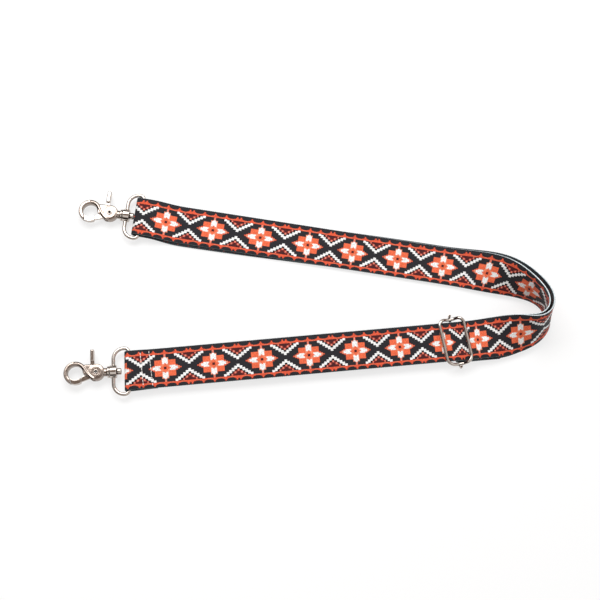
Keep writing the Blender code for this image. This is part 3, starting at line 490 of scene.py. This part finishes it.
# %% Geometry Nodes: sweep the section along the rows
def ribbon_tree():
    sockets = (
        ("Rows", "Geometry", None), ("Section", "Object", None), ("Section Points", "Int", SECTION_COUNT),
        ("Half Width", "Float", WEBBING_WIDTH / 2), ("Half Thickness", "Float", WEBBING_THICKNESS / 2),
        ("Selvage Loop", "Float", SELVAGE_LOOP), ("Finish", "Material", None),
    )
    tree, given = modifier_tree("webbing from rows", sockets, "Webbing")
    rows = given["Rows"]
    section = add(tree, "GeometryNodeObjectInfo", (given["Section"],), output="Geometry")
    row_count = add(tree, "GeometryNodeAttributeDomainSize", {"Geometry": rows}, output="Point Count")
    sizes = {"Size X": 1.0, "Size Y": 1.0, "Vertices X": row_count, "Vertices Y": given["Section Points"]}
    grid = add(tree, "GeometryNodeMeshGrid", sizes, output="Mesh")
    index = add(tree, "GeometryNodeInputIndex")
    centred = add(tree, MATH, (index, 0.5), operation="ADD")
    row = add(tree, MATH, (centred, given["Section Points"]), operation="DIVIDE")
    row = add(tree, MATH, (row,), operation="FLOOR")
    skipped = add(tree, MATH, (row, given["Section Points"]), operation="MULTIPLY")
    corner = add(tree, MATH, (index, skipped), operation="SUBTRACT")
    position = add(tree, "GeometryNodeInputPosition")

    def sampled(geometry, value, at):
        return add(
            tree, "GeometryNodeSampleIndex", {"Geometry": geometry, "Value": value, "Index": at},
            data_type="FLOAT_VECTOR",
        )

    outline = sampled(section, position, corner)
    across = add(tree, "ShaderNodeSeparateXYZ", (outline,), output="Y")
    through = across.node.outputs["Z"]
    ways = {}
    for key in ("width_way", "front_way", "travel"):
        named = add(tree, "GeometryNodeInputNamedAttribute", {"Name": key}, data_type="FLOAT_VECTOR")
        ways[key] = sampled(rows, named, row)
    place = sampled(rows, position, row)
    side = add(tree, MATH, (across, given["Half Width"]), operation="DIVIDE")
    face = add(tree, MATH, (through, given["Half Thickness"]), operation="DIVIDE")
    odd = add(tree, MATH, (row, 2.0), operation="MODULO")
    flatness = add(tree, MATH, (face,), operation="ABSOLUTE")
    edge = add(tree, MATH, (flatness, EDGE_BELOW), operation="LESS_THAN")
    loop = add(tree, MATH, (add(tree, MATH, (odd, edge), operation="MULTIPLY"), side), operation="MULTIPLY")
    pulled = add(tree, MATH, (loop, given["Selvage Loop"]), operation="MULTIPLY")
    pulled = add(tree, MATH, (across, pulled), operation="SUBTRACT")
    outward = add(tree, VECTOR, {0: ways["width_way"], "Scale": pulled}, operation="SCALE")
    upward = add(tree, VECTOR, {0: ways["front_way"], "Scale": through}, operation="SCALE")
    place = add(tree, VECTOR, (place, outward), operation="ADD")
    place = add(tree, VECTOR, (place, upward), operation="ADD")
    swept = add(tree, "GeometryNodeSetPosition", {"Geometry": grid, "Position": place})
    travel = add(tree, "ShaderNodeSeparateXYZ", (ways["travel"],), output="X")
    across_mm = add(tree, MATH, (across, 1 / MM), operation="MULTIPLY")
    weave = add(tree, "ShaderNodeCombineXYZ", (travel, across_mm, face))
    stored = add(
        tree, "GeometryNodeStoreNamedAttribute", {"Geometry": swept, "Name": "weave_mm", "Value": weave},
        data_type="FLOAT_VECTOR", domain="POINT",
    )
    closed = add(tree, "GeometryNodeMergeByDistance", {"Geometry": stored, "Distance": 1e-6})
    dressed = add(tree, "GeometryNodeSetMaterial", {"Geometry": closed, "Material": given["Finish"]})
    add(tree, "NodeGroupOutput", (dressed,))
    return tree


RIBBON = ribbon_tree()


def make_webbing(name, rows, travelled):
    """Sweeps the section along rows; travelled is each row's place along the webbing in millimetres."""
    centres = np.array([tuple(centre) for centre, _ in rows])
    widths = np.array([tuple(across) for _, across in rows])
    tangents = np.gradient(centres, axis=0)
    fronts = np.cross(widths, tangents)
    fronts /= np.linalg.norm(fronts, axis=1)[:, None]
    travel = np.zeros_like(centres)
    travel[:, 0] = travelled
    guide = guide_mesh(name + "_rows", centres, width_way=widths, front_way=fronts, travel=travel)
    mesh = grown(
        guide, RIBBON, Section=SECTION, Section_Points=SECTION_COUNT, Half_Width=WEBBING_WIDTH / 2,
        Half_Thickness=WEBBING_THICKNESS / 2, Selvage_Loop=SELVAGE_LOOP, Finish=WEBBING,
    )
    shape = bmesh.new()
    shape.from_mesh(mesh)
    bmesh.ops.remove_doubles(shape, verts=shape.verts, dist=WELD_DISTANCE)
    bmesh.ops.holes_fill(shape, edges=[edge for edge in shape.edges if edge.is_boundary])
    bmesh.ops.recalc_face_normals(shape, faces=shape.faces)
    shape.to_mesh(mesh)
    shape.free()
    mesh.name = name
    mesh.shade_smooth()
    print(name, len(rows), "rows,", len(mesh.polygons), "faces")
    return link_mesh(name, mesh)


# %% The path of the one webbing, from its sewn end at the slider to its sewn end at the lower ring
slider_rows = fold_rows(
    SLIDER_PLAN, LOWER_AWAY, SLIDER_BAR_HEIGHT, BAR_STANDOFF, 0, (TAIL_LENGTH, FLAT_HIGH),
    (LOOP_LENGTH, FLAT_LOW), SLIDER_SKEW, 0,
)
inner_rows = layer_rows(SLIDER_AT - LOOP_LENGTH - CLEARANCE, UPPER_FOLD_LENGTH + CLEARANCE, 1)
upper_rows = fold_rows(
    UPPER_BAR, UPPER_HEADING, CLASP_AXIS_HEIGHT, RING_STANDOFF, UPPER_FOLD_SLACK,
    (UPPER_FOLD_LENGTH, FLAT_HIGH), (UPPER_FOLD_LENGTH, FLAT_LOW), UPPER_CLASP_HEADING - UPPER_HEADING,
    layer_shift(UPPER_FOLD_LENGTH),
)
outer_rows = layer_rows(UPPER_FOLD_LENGTH + CLEARANCE, ROUTE_LENGTH - LOWER_FOLD_LENGTH - CLEARANCE, -1)
lower_rows = fold_rows(
    LOWER_BAR, LOWER_AWAY, CLASP_AXIS_HEIGHT, RING_STANDOFF, LOWER_FOLD_SLACK,
    (LOWER_FOLD_LENGTH, RUN_HEIGHT), (TAIL_LENGTH, RUN_HEIGHT - LAYER_PITCH), LOWER_CLASP_HEADING - LOWER_AWAY, 0,
)
path = slider_rows + inner_rows + upper_rows + outer_rows + lower_rows
centres = np.array([tuple(centre) for centre, _ in path])
travelled = np.concatenate([[0], np.cumsum(np.linalg.norm(np.diff(centres, axis=0), axis=1))]) / MM
print("length of the webbing:", round(travelled[-1]), "mm")

# %% [markdown]
# ## Where the flowers fall
# A strap is cut from a long roll, so its picture starts anywhere, and pulling stretches the weave
# by a few percent. Twelve pairs set both: a place along the webbing in millimetres, and the count
# of repeats there. Flowers are at whole counts, where the photograph has them on both strands.

# %% Place in the picture along the webbing, and the webbing's pieces
FLOWERS = (
    (0, 0.37), (163.3, 4), (381.2, 9), (520.7, 12), (1016.0, 23), (1056.8, 24), (1088.7, 25), (1171.9, 27),
    (1215.6, 28), (1259.7, 29), (1350.1, 31), (1421, 32.57),
)
weave_mm = np.interp(travelled, [place for place, _ in FLOWERS], [count * REPEAT for _, count in FLOWERS])
loop_end = len(slider_rows) - 1
strap_webbing = make_webbing("webbing_strap", path[loop_end:], weave_mm[loop_end:])
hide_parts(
    "webbing_upper_fold", "webbing_upper_top", "webbing_upper_under", "webbing_bend_inner",
    "webbing_bend_outer", "webbing_lower_run", "webbing_lower_fold",
)
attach(strap_webbing, "strap")
loop = make_webbing("webbing_slider_end", path[:loop_end + 1], weave_mm[:loop_end + 1])
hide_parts("webbing_slider_loop")
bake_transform(loop)

# %% [markdown]
# ## Stitches
# White thread holds each sewn end, in two lines across the webbing. The stitches repeat at one
# pitch, so Geometry Nodes lay them along a line from selvage to selvage.

# %% Geometry Nodes: stitches along a line
STITCH_PITCH = 2.9 * MM
STITCH_SHARE = 0.46
THREAD_RADIUS = 0.34 * MM
OUTER_LINE, INNER_LINE = (19.8, 21.2, 15.5 * MM), (11.6, 13.0, 14.5 * MM)


def thread_material(name):
    finish, tree, shader = new_material(name, Base_Color=linear("#F4EFEA"), Roughness=0.6)
    place = add(tree, "ShaderNodeTexCoord", output="Object")
    twist = {"Vector": place, "Scale": 900.0}
    twist = add(tree, "ShaderNodeTexWave", twist, output="Fac", bands_direction="DIAGONAL")
    bump = add(tree, "ShaderNodeBump", {"Strength": 0.5, "Distance": 0.0001, "Height": twist})
    tree.links.new(bump, shader.inputs["Normal"])
    return finish


def stitch_tree():
    sockets = (
        ("Line", "Geometry", None), ("Pitch", "Float", STITCH_PITCH),
        ("Thread Radius", "Float", THREAD_RADIUS), ("Finish", "Material", None),
    )
    tree, given = modifier_tree("stitches along a line", sockets, "Stitches")
    line = add(tree, "GeometryNodeMeshToCurve", (given["Line"],))
    spaced = add(tree, "GeometryNodeResampleCurve", {"Curve": line, "Length": given["Pitch"]}, mode="LENGTH")
    tangent = add(tree, "GeometryNodeInputTangent")
    turned_way = add(tree, "FunctionNodeAlignRotationToVector", {"Vector": tangent}, axis="X")
    half = add(tree, MATH, (given["Pitch"], STITCH_SHARE), operation="MULTIPLY")
    shape = add(tree, "ShaderNodeCombineXYZ", (half, given["Thread Radius"], given["Thread Radius"]))
    grain = add(tree, "GeometryNodeMeshIcoSphere", {"Radius": 1.0, "Subdivisions": 3})
    number = add(tree, "GeometryNodeInputIndex")
    jitter = {0: (0.9, 0.75, 0.9), 1: (1.05, 1.1, 1.1), "ID": number, "Seed": 7}
    uneven = add(tree, "FunctionNodeRandomValue", jitter, data_type="FLOAT_VECTOR")
    shape = add(tree, VECTOR, (shape, uneven), operation="MULTIPLY")
    laid = {"Points": spaced, "Instance": grain, "Rotation": turned_way, "Scale": shape}
    laid = add(tree, "GeometryNodeInstanceOnPoints", laid)
    solid = add(tree, "GeometryNodeRealizeInstances", (laid,))
    dressed = add(tree, "GeometryNodeSetMaterial", {"Geometry": solid, "Material": given["Finish"]})
    add(tree, "NodeGroupOutput", (dressed,))
    return tree


STITCHES = stitch_tree()
THREAD = thread_material("white_sewing_thread")


def seam(name, rows, leg, line, lift, body):
    """Stitches across a fold's upper leg, as far above it as lift says. The line has its distances
    from the bar at the left and right end, in millimetres, and its reach to each side."""
    upper_at, lower_at, reach = line
    count = round(leg / ROW_SPACING)
    ends = []
    for place, side in ((upper_at, 1), (lower_at, -1)):
        centre, across = rows[round(count * (1 - place * MM / leg))]
        ends.append(centre + across * side * reach + Vector((0, 0, WEBBING_THICKNESS / 2 + lift)))
    guide = guide_mesh(name, ends)
    mesh = grown(guide, STITCHES, Pitch=STITCH_PITCH, Thread_Radius=THREAD_RADIUS, Finish=THREAD)
    mesh.shade_smooth()
    made = link_mesh(name, mesh)
    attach(made, body)


for name, rows, leg, lift, body in (
    ("lower_seam", lower_rows, LOWER_FOLD_LENGTH, THREAD_RADIUS / 3, "strap"),
    ("slider_seam", slider_rows, TAIL_LENGTH, -THREAD_RADIUS * 0.7, "slider"),
):
    seam(name + "_outer", rows, leg, OUTER_LINE, lift, body)
    seam(name + "_inner", rows, leg, INNER_LINE, lift, body)

# %% [markdown]
# ## Bright metal
# Rings, clasps and slider are zinc and wire under polished nickel. The nickel is a plain metal with
# a warm grey colour. Its crevices are darkened with painted shade, and a fine wave of the surface
# breaks up the reflections. The clasps' cheeks are cast, and a little rougher.

# %% Nickel and spring steel
# Painted shade: the metal's colour darkens towards this brown where ambient occlusion finds crevices.
PAINTED_SHADE_COLOUR, PAINTED_SHADE_REACH = "#3A2A26", 4 * MM
PAINTED_SHADE_FROM, PAINTED_SHADE_TO = 0.3, 0.85


def nickel(name, colour, smooth, rough, wave):
    """Metal with roughness from smooth to rough, its surface waving as strongly as wave says."""
    finish, tree, shader = new_material(name, Metallic=1)
    place = add(tree, "ShaderNodeTexCoord", output="Object")
    broad = add(tree, "ShaderNodeTexNoise", {"Vector": place, "Scale": 420.0, "Detail": 3.0})
    fine = add(tree, "ShaderNodeTexNoise", {"Vector": place, "Scale": 2600.0, "Detail": 2.0})
    polish = {"Value": broad, "From Min": 0.3, "From Max": 0.7, "To Min": smooth, "To Max": rough}
    polish = add(tree, MAP_RANGE, polish)
    # painted shade in the crevices, found by ambient occlusion
    unshaded_share = add(tree, "ShaderNodeAmbientOcclusion", {"Distance": PAINTED_SHADE_REACH}, output="AO")
    unshaded_share = {"Value": unshaded_share, "From Min": PAINTED_SHADE_FROM, "From Max": PAINTED_SHADE_TO}
    unshaded_share = add(tree, MAP_RANGE, unshaded_share)
    tone = {0: unshaded_share, 6: linear(PAINTED_SHADE_COLOUR), 7: linear(colour)}
    tone = add(tree, MIX, tone, **OF_COLOURS)
    height = add(tree, MATH, (broad, fine), operation="ADD")
    bump = add(tree, "ShaderNodeBump", {"Strength": wave, "Distance": 0.00012, "Height": height})
    tree.links.new(tone, shader.inputs["Base Color"])
    tree.links.new(polish, shader.inputs["Roughness"])
    tree.links.new(bump, shader.inputs["Normal"])
    return finish


NICKEL = nickel("polished_nickel_plate", "#C2B8B0", 0.04, 0.1, 0.06)
CAST_NICKEL = nickel("cast_nickel_plate", "#A1948B", 0.12, 0.22, 0.2)
SPRING_STEEL = nickel("drawn_spring_steel", "#9A9896", 0.22, 0.34, 0.2)

# %% [markdown]
# ## Wires, turned pieces and castings
# Three ways of making metal are enough. A wire is a round tube along points. A turned piece is an
# outline spun about its axis. A casting is several shapes melted into one skin, which leaves the
# soft fillets that a mould gives.

# %% Metal-making functions
def arc(centre_x, centre_y, radius, start, end, steps):
    """Points of an arc, both ends included, angles in degrees."""
    angles = [math.radians(start + (end - start) * i / steps) for i in range(steps + 1)]
    return [(centre_x + radius * math.cos(a), centre_y + radius * math.sin(a)) for a in angles]


def tube(points, radius, closed=False):
    curve = bpy.data.curves.new("wire", "CURVE")
    curve.dimensions = "3D"
    curve.bevel_depth, curve.bevel_resolution = radius, 8
    curve.use_fill_caps = not closed
    spline = curve.splines.new("POLY")
    spline.points.add(len(points) - 1)
    for point, place in zip(spline.points, points):
        point.co = (*place, 1)
    spline.use_cyclic_u = closed
    guide = bpy.data.objects.new("wire", curve)
    bpy.context.scene.collection.objects.link(guide)
    return mesh_from(guide)


def turned(outline, along="X", steps=80):
    """Spins an outline of (place along the axis, radius); it closes on itself unless it starts on the axis."""
    shape = bmesh.new()
    rings = []
    for place, radius in outline:
        circle = [(radius * x, radius * y) for x, y in arc(0, 0, 1, 0, 360, steps)[:-1]]
        rings.append([shape.verts.new((place, x, y) if along == "X" else (x, y, place)) for x, y in circle])
    pairs = list(zip(rings, rings[1:]))
    if outline[0][1] > 0:
        pairs.append((rings[-1], rings[0]))
    for first, second in pairs:
        for i in range(steps):
            shape.faces.new((first[i - 1], first[i], second[i], second[i - 1]))
    return finished("turned", shape)


def joined(name, meshes):
    shape = bmesh.new()
    for mesh in meshes:
        shape.from_mesh(mesh)
    bmesh.ops.remove_doubles(shape, verts=shape.verts, dist=WELD_DISTANCE)
    bmesh.ops.recalc_face_normals(shape, faces=shape.faces)
    return finished(name, shape)


def cast(name, meshes, voxel, passes):
    guide = link_mesh(name, joined(name, meshes))
    skin = guide.modifiers.new("one skin", "REMESH")
    skin.mode, skin.voxel_size = "VOXEL", voxel
    soft = guide.modifiers.new("soft edges", "SMOOTH")
    soft.factor, soft.iterations = 0.5, passes
    return mesh_from(guide)


def standing(plan, height, turn):
    """The place of a piece over a point of the plan, turned about the vertical."""
    return Matrix.Translation(LAYOUT + Vector((*plan, height))) @ Matrix.Rotation(turn, 4, "Z")


def mirrored(mesh):
    """A copy turned upside down, for a clasp's other face."""
    other = mesh.copy()
    other.transform(Matrix.Scale(-1, 4, (0, 0, 1)))
    return other


def fit(name, mesh, place, finish, body, node):
    """Links a finished metal piece at its place; it rides on its body and stands for its CAD node."""
    mesh.transform(place)
    mesh.shade_smooth()
    mesh.materials.clear()
    made = link_mesh(name, mesh, finish)
    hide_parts(node)
    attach(made, body)


# %% [markdown]
# ## The slider
# The frame is one closed wire that arches over the running webbing and dips beside it. The centre
# bar passes under the webbing with the sewn end round it, and its bent tips stand up outside the
# frame.

# %% Slider
SLIDER_HALF_LENGTH, SLIDER_HALF_SPAN, SLIDER_CORNER = 11.5 * MM, 22.0 * MM, 6 * MM
FRAME_HEIGHT, RAIL_HEIGHT, TIP_RISE = 10.1 * MM, 6.3 * MM, 3.2 * MM
WIRE_SPACING, BAR_VOXEL = 0.8 * MM, 0.16 * MM


def rounded_frame(near, far, half_span, near_corner, far_corner, steps=14):
    """A closed rectangle in plan from near to far along X, its four corners as arcs."""
    points = arc(far - far_corner, half_span - far_corner, far_corner, 0, 90, steps)
    points += arc(near + near_corner, half_span - near_corner, near_corner, 90, 180, steps)
    points += arc(near + near_corner, near_corner - half_span, near_corner, 180, 270, steps)
    points += arc(far - far_corner, far_corner - half_span, far_corner, 270, 360, steps)
    return points


def filled(points, spacing):
    """Adds points on the long straight stretches of a closed outline."""
    dense = []
    for first, second in zip(points, points[1:] + points[:1]):
        count = max(1, round(math.dist(first, second) / spacing))
        dense += [tuple(a + (b - a) * i / count for a, b in zip(first, second)) for i in range(count)]
    return dense


def slider():
    place = standing(SLIDER_PLAN, 0, LOWER_AWAY + SLIDER_SKEW)
    corners = (-SLIDER_HALF_LENGTH, SLIDER_HALF_LENGTH, SLIDER_HALF_SPAN, SLIDER_CORNER, SLIDER_CORNER)
    points = []
    for x, y in filled(rounded_frame(*corners), WIRE_SPACING):
        dip = (FRAME_HEIGHT - RAIL_HEIGHT) * (1 - between(abs(x), 0, SLIDER_HALF_LENGTH))
        beside = between(abs(y), WEBBING_WIDTH / 2 - SLIDER_CORNER / 2, SLIDER_HALF_SPAN)
        points.append((x, y, FRAME_HEIGHT - dip * beside))
    frame_wire = joined("slider_frame", [tube(points, SLIDER_WIRE_RADIUS, closed=True)])
    fit("slider_wire_frame", frame_wire, place, NICKEL, "slider", "slider_frame")

    reach = SLIDER_HALF_SPAN + SLIDER_WIRE_RADIUS + CLEARANCE + SLIDER_BAR_RADIUS
    bend = 2 * SLIDER_BAR_RADIUS
    half = arc(reach - bend, SLIDER_BAR_HEIGHT + bend, bend, 270, 360, 12)
    half.append((reach, SLIDER_BAR_HEIGHT + bend + TIP_RISE))
    points = [(0, -y, z) for y, z in reversed(half)] + [(0, y, z) for y, z in half]
    bar = cast("slider_bar", [tube(points, SLIDER_BAR_RADIUS)], BAR_VOXEL, passes=3)
    fit("slider_bar", bar, place, NICKEL, "slider", "slider_centre_bar")


slider()

# %% [markdown]
# ## The clasps
# Both clasps are the same casting. The ring is a bent wire with a boss that the swivel post turns
# in. The hook has its open eye, a raised bead that runs from the eye's rim across the cheek, a
# round face about the rivet, and the neck. The gate, its lever and the hook start from the CAD
# pieces, whose shapes are already right, and get the casting's soft skin.

# %% Clasp sizes, from the centre of the eye towards the strap
BAR_FROM_EYE = 49.7 * MM
RING_HALF_SPAN, RING_FRONT, RING_FRONT_CORNER, RING_BACK_CORNER = 22.1 * MM, -14.4 * MM, 10 * MM, 4 * MM
WIRE_ENDS = (4.6 * MM, -3.6 * MM)
BOSS_RADIUS, BOSS_LENGTH, BOSS_EDGE, BORE_RADIUS = 6.2 * MM, 6.5 * MM, 0.7 * MM, 2.45 * MM
COLLAR_FROM, COLLAR_TO, COLLAR_RADIUS, COLLAR_EDGE = 29.75 * MM, 31.75 * MM, 5.5 * MM, 0.55 * MM
CHEEK_HEIGHT = 3.3 * MM
BEAD = ((-1.0, 9.0), (2.9, 8.5), (6.2, 6.5), (8.6, 3.2), (10.9, -0.4), (13.2, -3.0), (15.6, -5.2), (17.6, -6.3))
BEAD_RADIUS, BEAD_HEIGHT = 1.25 * MM, 2.65 * MM
# the round face about the rivet, as heights above the cheek and radii, in millimetres
FACE = ((-0.5, 2), (0.15, 2), (0.3, 2.6), (0.3, 5.4), (0.1, 6), (-0.5, 6))
# the post's shank and step, its head's underside and dome, and the tool's dimple in the dome
POST_FROM, POST_RADIUS, STEP_AT, STEP_RADIUS = 27.6 * MM, 2.2 * MM, 38.85 * MM, 2.6 * MM
HEAD_SHOULDER, HEAD_DOME = (39.4 * MM, 2.65 * MM, 0.55 * MM), (41.7 * MM, 2.05 * MM, 1.15 * MM)
DIMPLE = [(42.85 * MM, 1.1 * MM), (42.1 * MM, 0.7 * MM), (41.9 * MM, 0)]
RIVET_FROM_EYE, RIVET_RADIUS, RIVET_HOLE = 19.3 * MM, 1.5 * MM, 0.8 * MM
SHANK_HALF, ROLL_BACK, ROLL_START = 3.8 * MM, 0.1 * MM, 2.35 * MM
ROLL_CENTRE, ROLL_RADIUS, ROLL_END = 1.75 * MM, 0.6 * MM, 0.6 * MM
SPRING_RADIUS, SPRING_LEG, SPRING_PITCH, SPRING_TURNS = 2.2 * MM, 2.2 * MM, 0.72 * MM, 2.5
SPRING_BOTTOM, SPRING_WIRE_RADIUS, SPRING_STEPS_A_TURN = -0.3 * MM, 0.3 * MM, 28
HOOK_VOXEL, FINE_VOXEL = 0.22 * MM, 0.2 * MM


def rounded_outline(low, high, inner, outer, edge):
    """Outline of a turned sleeve with rounded outer edges."""
    outline = [(low, inner)] + arc(low + edge, outer - edge, edge, 180, 90, 6)
    return outline + arc(high - edge, outer - edge, edge, 90, 0, 6) + [(high, inner)]


# %% One clasp: ring, hook, swivel, rivet, gate and spring
def smooth_curve(points, steps=8):
    """A smooth path through the points in plan."""
    dense = []
    count = len(points)
    for i in range(count - 1):
        before, start, end, after = (Vector(points[min(max(k, 0), count - 1)]) for k in (i - 1, i, i + 1, i + 2))
        for step in range(steps):
            t = step / steps
            spot = start * 2 + (end - before) * t + (before * 2 - start * 5 + end * 4 - after) * t * t
            dense.append((spot + (start * 3 - before - end * 3 + after) * t ** 3) / 2)
    return dense + [Vector(points[-1])]


def local_copy(node, place):
    """A CAD piece's mesh, as seen from the clasp's own eye."""
    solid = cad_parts[node]
    mesh = solid.data.copy()
    mesh.transform(place.inverted() @ solid.matrix_world)
    return mesh


def wire_ring(side, place):
    outline = rounded_frame(RING_FRONT, 0, RING_HALF_SPAN, RING_FRONT_CORNER, RING_BACK_CORNER)
    outline = filled(outline, WIRE_SPACING)
    front = RING_FRONT * 0.99
    first = next(i for i, (x, y) in enumerate(outline) if x < front and 0 < y < WIRE_ENDS[0])
    past = next(i for i, (x, y) in enumerate(outline) if x < front and y < WIRE_ENDS[1])
    open_ring = [(x, y, 0) for x, y in outline[past:] + outline[:first]]
    low, high = RING_FRONT - BOSS_LENGTH / 2, RING_FRONT + BOSS_LENGTH / 2
    boss = turned(rounded_outline(low, high, BORE_RADIUS, BOSS_RADIUS, BOSS_EDGE))
    ring = cast(side + "_ring", [tube(open_ring, RING_WIRE_RADIUS), boss], FINE_VOXEL, passes=5)
    fit(side + "_wire_ring", ring, place, NICKEL, side + "_ring", side + "_ring")


def hook_casting(side, place):
    face = turned([(CHEEK_HEIGHT + rise * MM, radius * MM) for rise, radius in FACE], "Z")
    face.transform(Matrix.Translation((RIVET_FROM_EYE, 0, 0)))
    bead = [(x * MM, y * MM, BEAD_HEIGHT) for x, y in smooth_curve(BEAD)]
    reliefs = []
    for shape in (face, tube(bead, BEAD_RADIUS)):
        under = mirrored(shape)
        under.flip_normals()
        reliefs += [shape, under]
    hook = cast(side + "_hook", [local_copy(side + "_hook_body", place)] + reliefs, HOOK_VOXEL, passes=5)
    fit(side + "_hook_casting", hook, place, CAST_NICKEL, side + "_hook", side + "_hook_body")


def rivet_mesh():
    roll = arc(SHANK_HALF + ROLL_BACK, ROLL_CENTRE, ROLL_RADIUS, 90, -60, 8)
    under_roll = SHANK_HALF - ROLL_BACK
    outline = [(0, RIVET_RADIUS), (under_roll, RIVET_RADIUS), (under_roll, ROLL_START)] + roll
    outline += [(SHANK_HALF - ROLL_END, RIVET_HOLE), (0, RIVET_HOLE)]
    half = turned(outline, "Z", 56)
    return joined("rivet", [half, mirrored(half)])


def spring_mesh():
    """A torsion spring of two and a half turns round the rivet, its legs towards the neck."""
    points = [(SPRING_RADIUS + SPRING_LEG, -SPRING_RADIUS, SPRING_BOTTOM)]
    steps = round(SPRING_TURNS * SPRING_STEPS_A_TURN)
    for i in range(steps + 1):
        turn = SPRING_TURNS * i / steps
        angle = -math.pi / 2 - 2 * math.pi * turn
        height = SPRING_BOTTOM + SPRING_PITCH * turn
        points.append((SPRING_RADIUS * math.cos(angle), SPRING_RADIUS * math.sin(angle), height))
    points.append((SPRING_RADIUS + SPRING_LEG, SPRING_RADIUS, points[-1][2]))
    return joined("spring", [tube(points, SPRING_WIRE_RADIUS)])


def clasp(side, bar_plan, turn):
    ring_place = standing(bar_plan, CLASP_AXIS_HEIGHT, turn)
    eye_place = ring_place @ Matrix.Translation((-BAR_FROM_EYE, 0, 0))
    rivet_place = eye_place @ Matrix.Translation((RIVET_FROM_EYE, 0, 0))
    hook = side + "_hook"
    wire_ring(side, ring_place)
    hook_casting(side, eye_place)

    collar = turned(rounded_outline(COLLAR_FROM, COLLAR_TO, BORE_RADIUS, COLLAR_RADIUS, COLLAR_EDGE))
    fit(side + "_collar", joined("collar", [collar]), eye_place, NICKEL, hook, side + "_swivel_collar")
    outline = [(POST_FROM, 0), (POST_FROM, POST_RADIUS), (STEP_AT, POST_RADIUS), (STEP_AT, STEP_RADIUS)]
    outline += arc(*HEAD_SHOULDER, 180, 90, 5) + arc(*HEAD_DOME, 90, 0, 8) + DIMPLE
    post = joined("post", [turned(outline)])
    fit(side + "_post", post, eye_place, NICKEL, hook, side + "_swivel_post")

    fit(side + "_rivet", rivet_mesh(), rivet_place, NICKEL, hook, side + "_gate_rivet")
    gate = cast(side + "_gate_skin", [local_copy(side + "_gate", eye_place)], FINE_VOXEL, passes=4)
    fit(side + "_gate_casting", gate, eye_place, NICKEL, side + "_gate", side + "_gate")
    fit(side + "_spring", spring_mesh(), rivet_place, SPRING_STEEL, hook, side + "_gate_spring")


clasp("upper", UPPER_BAR, UPPER_CLASP_HEADING)
clasp("lower", LOWER_BAR, LOWER_CLASP_HEADING)

# %% [markdown]
# ## The table and the light
# A big soft lamp behind the strap gives the short soft shadow in front of it. The white table glows
# a little for camera and mirror rays only, so that it looks white and is mirrored white, and keeps
# the shadow. The room is white above, dark towards the horizon and at the left, and a grey patch
# hangs overhead, which gives the metal its contrast. The camera itself sees plain white.

# %% Floor, lamp and world
TABLE_HALF_SIZE, TABLE_DROP, TABLE_GLOW = 3, 0.2 * MM, 0.7
LAMP_PLACE, LAMP_SIZE, LAMP_WATTS = (-0.25, 0.75, 1.1), (1.2, 0.7), 16
ROOM_SKEW = 0.35
ROOM_TONES = ((0.0, "#120C0B"), (0.66, "#FFFFFF"), (0.38, "#33272A"), (0.56, "#EFE9E4"))
PATCH_COLOUR, PATCH_FROM, PATCH_FULL = "#8A786D", 0.915, 0.955
WHITE = (1, 1, 1, 1)


def white_table():
    finish, tree, shader = new_material("white_table", Base_Color=linear("#F7F7F7"), Roughness=0.7)
    glow = add(tree, "ShaderNodeEmission", {"Color": WHITE, "Strength": 1.0})
    camera_ray = add(tree, "ShaderNodeLightPath", output="Is Camera Ray")
    mirror_ray = camera_ray.node.outputs["Is Glossy Ray"]
    seen = add(tree, MATH, (camera_ray, mirror_ray), operation="MAXIMUM")
    share = add(tree, MATH, (seen, TABLE_GLOW), operation="MULTIPLY")
    mixed = add(tree, "ShaderNodeMixShader", {0: share, 1: shader.outputs[0], 2: glow})
    tree.links.new(mixed, tree.nodes["Material Output"].inputs["Surface"])
    shape = bmesh.new()
    bmesh.ops.create_grid(shape, x_segments=2, y_segments=2, size=TABLE_HALF_SIZE)
    table = link_mesh("table", finished("table", shape), finish)
    table.location.z = -TABLE_DROP


def soft_window():
    lamp = bpy.data.lights.new("soft_window", "AREA")
    lamp.shape, lamp.energy = "RECTANGLE", LAMP_WATTS
    lamp.size, lamp.size_y = LAMP_SIZE
    window = bpy.data.objects.new("soft_window", lamp)
    window.location = LAMP_PLACE
    window.rotation_euler = (-window.location).to_track_quat("-Z", "Y").to_euler()
    bpy.context.scene.collection.objects.link(window)


def room():
    world = bpy.data.worlds.new("studio")
    bpy.context.scene.world = world
    world.use_nodes = True
    tree = world.node_tree
    way = add(tree, "ShaderNodeTexCoord", output="Generated")
    aside = add(tree, "ShaderNodeSeparateXYZ", (way,))
    up = aside.node.outputs["Z"]
    skewed = add(tree, MATH, (aside, ROOM_SKEW, up), operation="MULTIPLY_ADD")
    walls = add(tree, "ShaderNodeValToRGB", (skewed,))
    stops = walls.node.color_ramp.elements
    for stop, (height, colour) in zip(stops, ROOM_TONES):
        stop.position, stop.color = height, linear(colour)
    for height, colour in ROOM_TONES[2:]:
        stops.new(height).color = linear(colour)
    beside = {"Value": up, "From Min": PATCH_FROM, "From Max": PATCH_FULL, "To Min": 1.0, "To Max": 0.0}
    beside = add(tree, MAP_RANGE, beside)
    overhead = {0: beside, 6: linear(PATCH_COLOUR), 7: WHITE}
    overhead = add(tree, MIX, overhead, **OF_COLOURS)
    lit = {0: 1.0, 6: walls, 7: overhead}
    lit = add(tree, MIX, lit, blend_type="MULTIPLY", **OF_COLOURS)
    camera_ray = add(tree, "ShaderNodeLightPath", output="Is Camera Ray")
    sky = add(tree, MIX, {0: camera_ray, 6: lit, 7: WHITE}, **OF_COLOURS)
    tree.links.new(sky, tree.nodes["Background"].inputs["Color"])
    tree.nodes["Background"].inputs["Strength"].default_value = 1.0


white_table()
soft_window()
room()
bpy.context.scene.view_settings.view_transform = "Standard"

# %% Remove the section guide, and finish
bpy.data.objects.remove(SECTION)
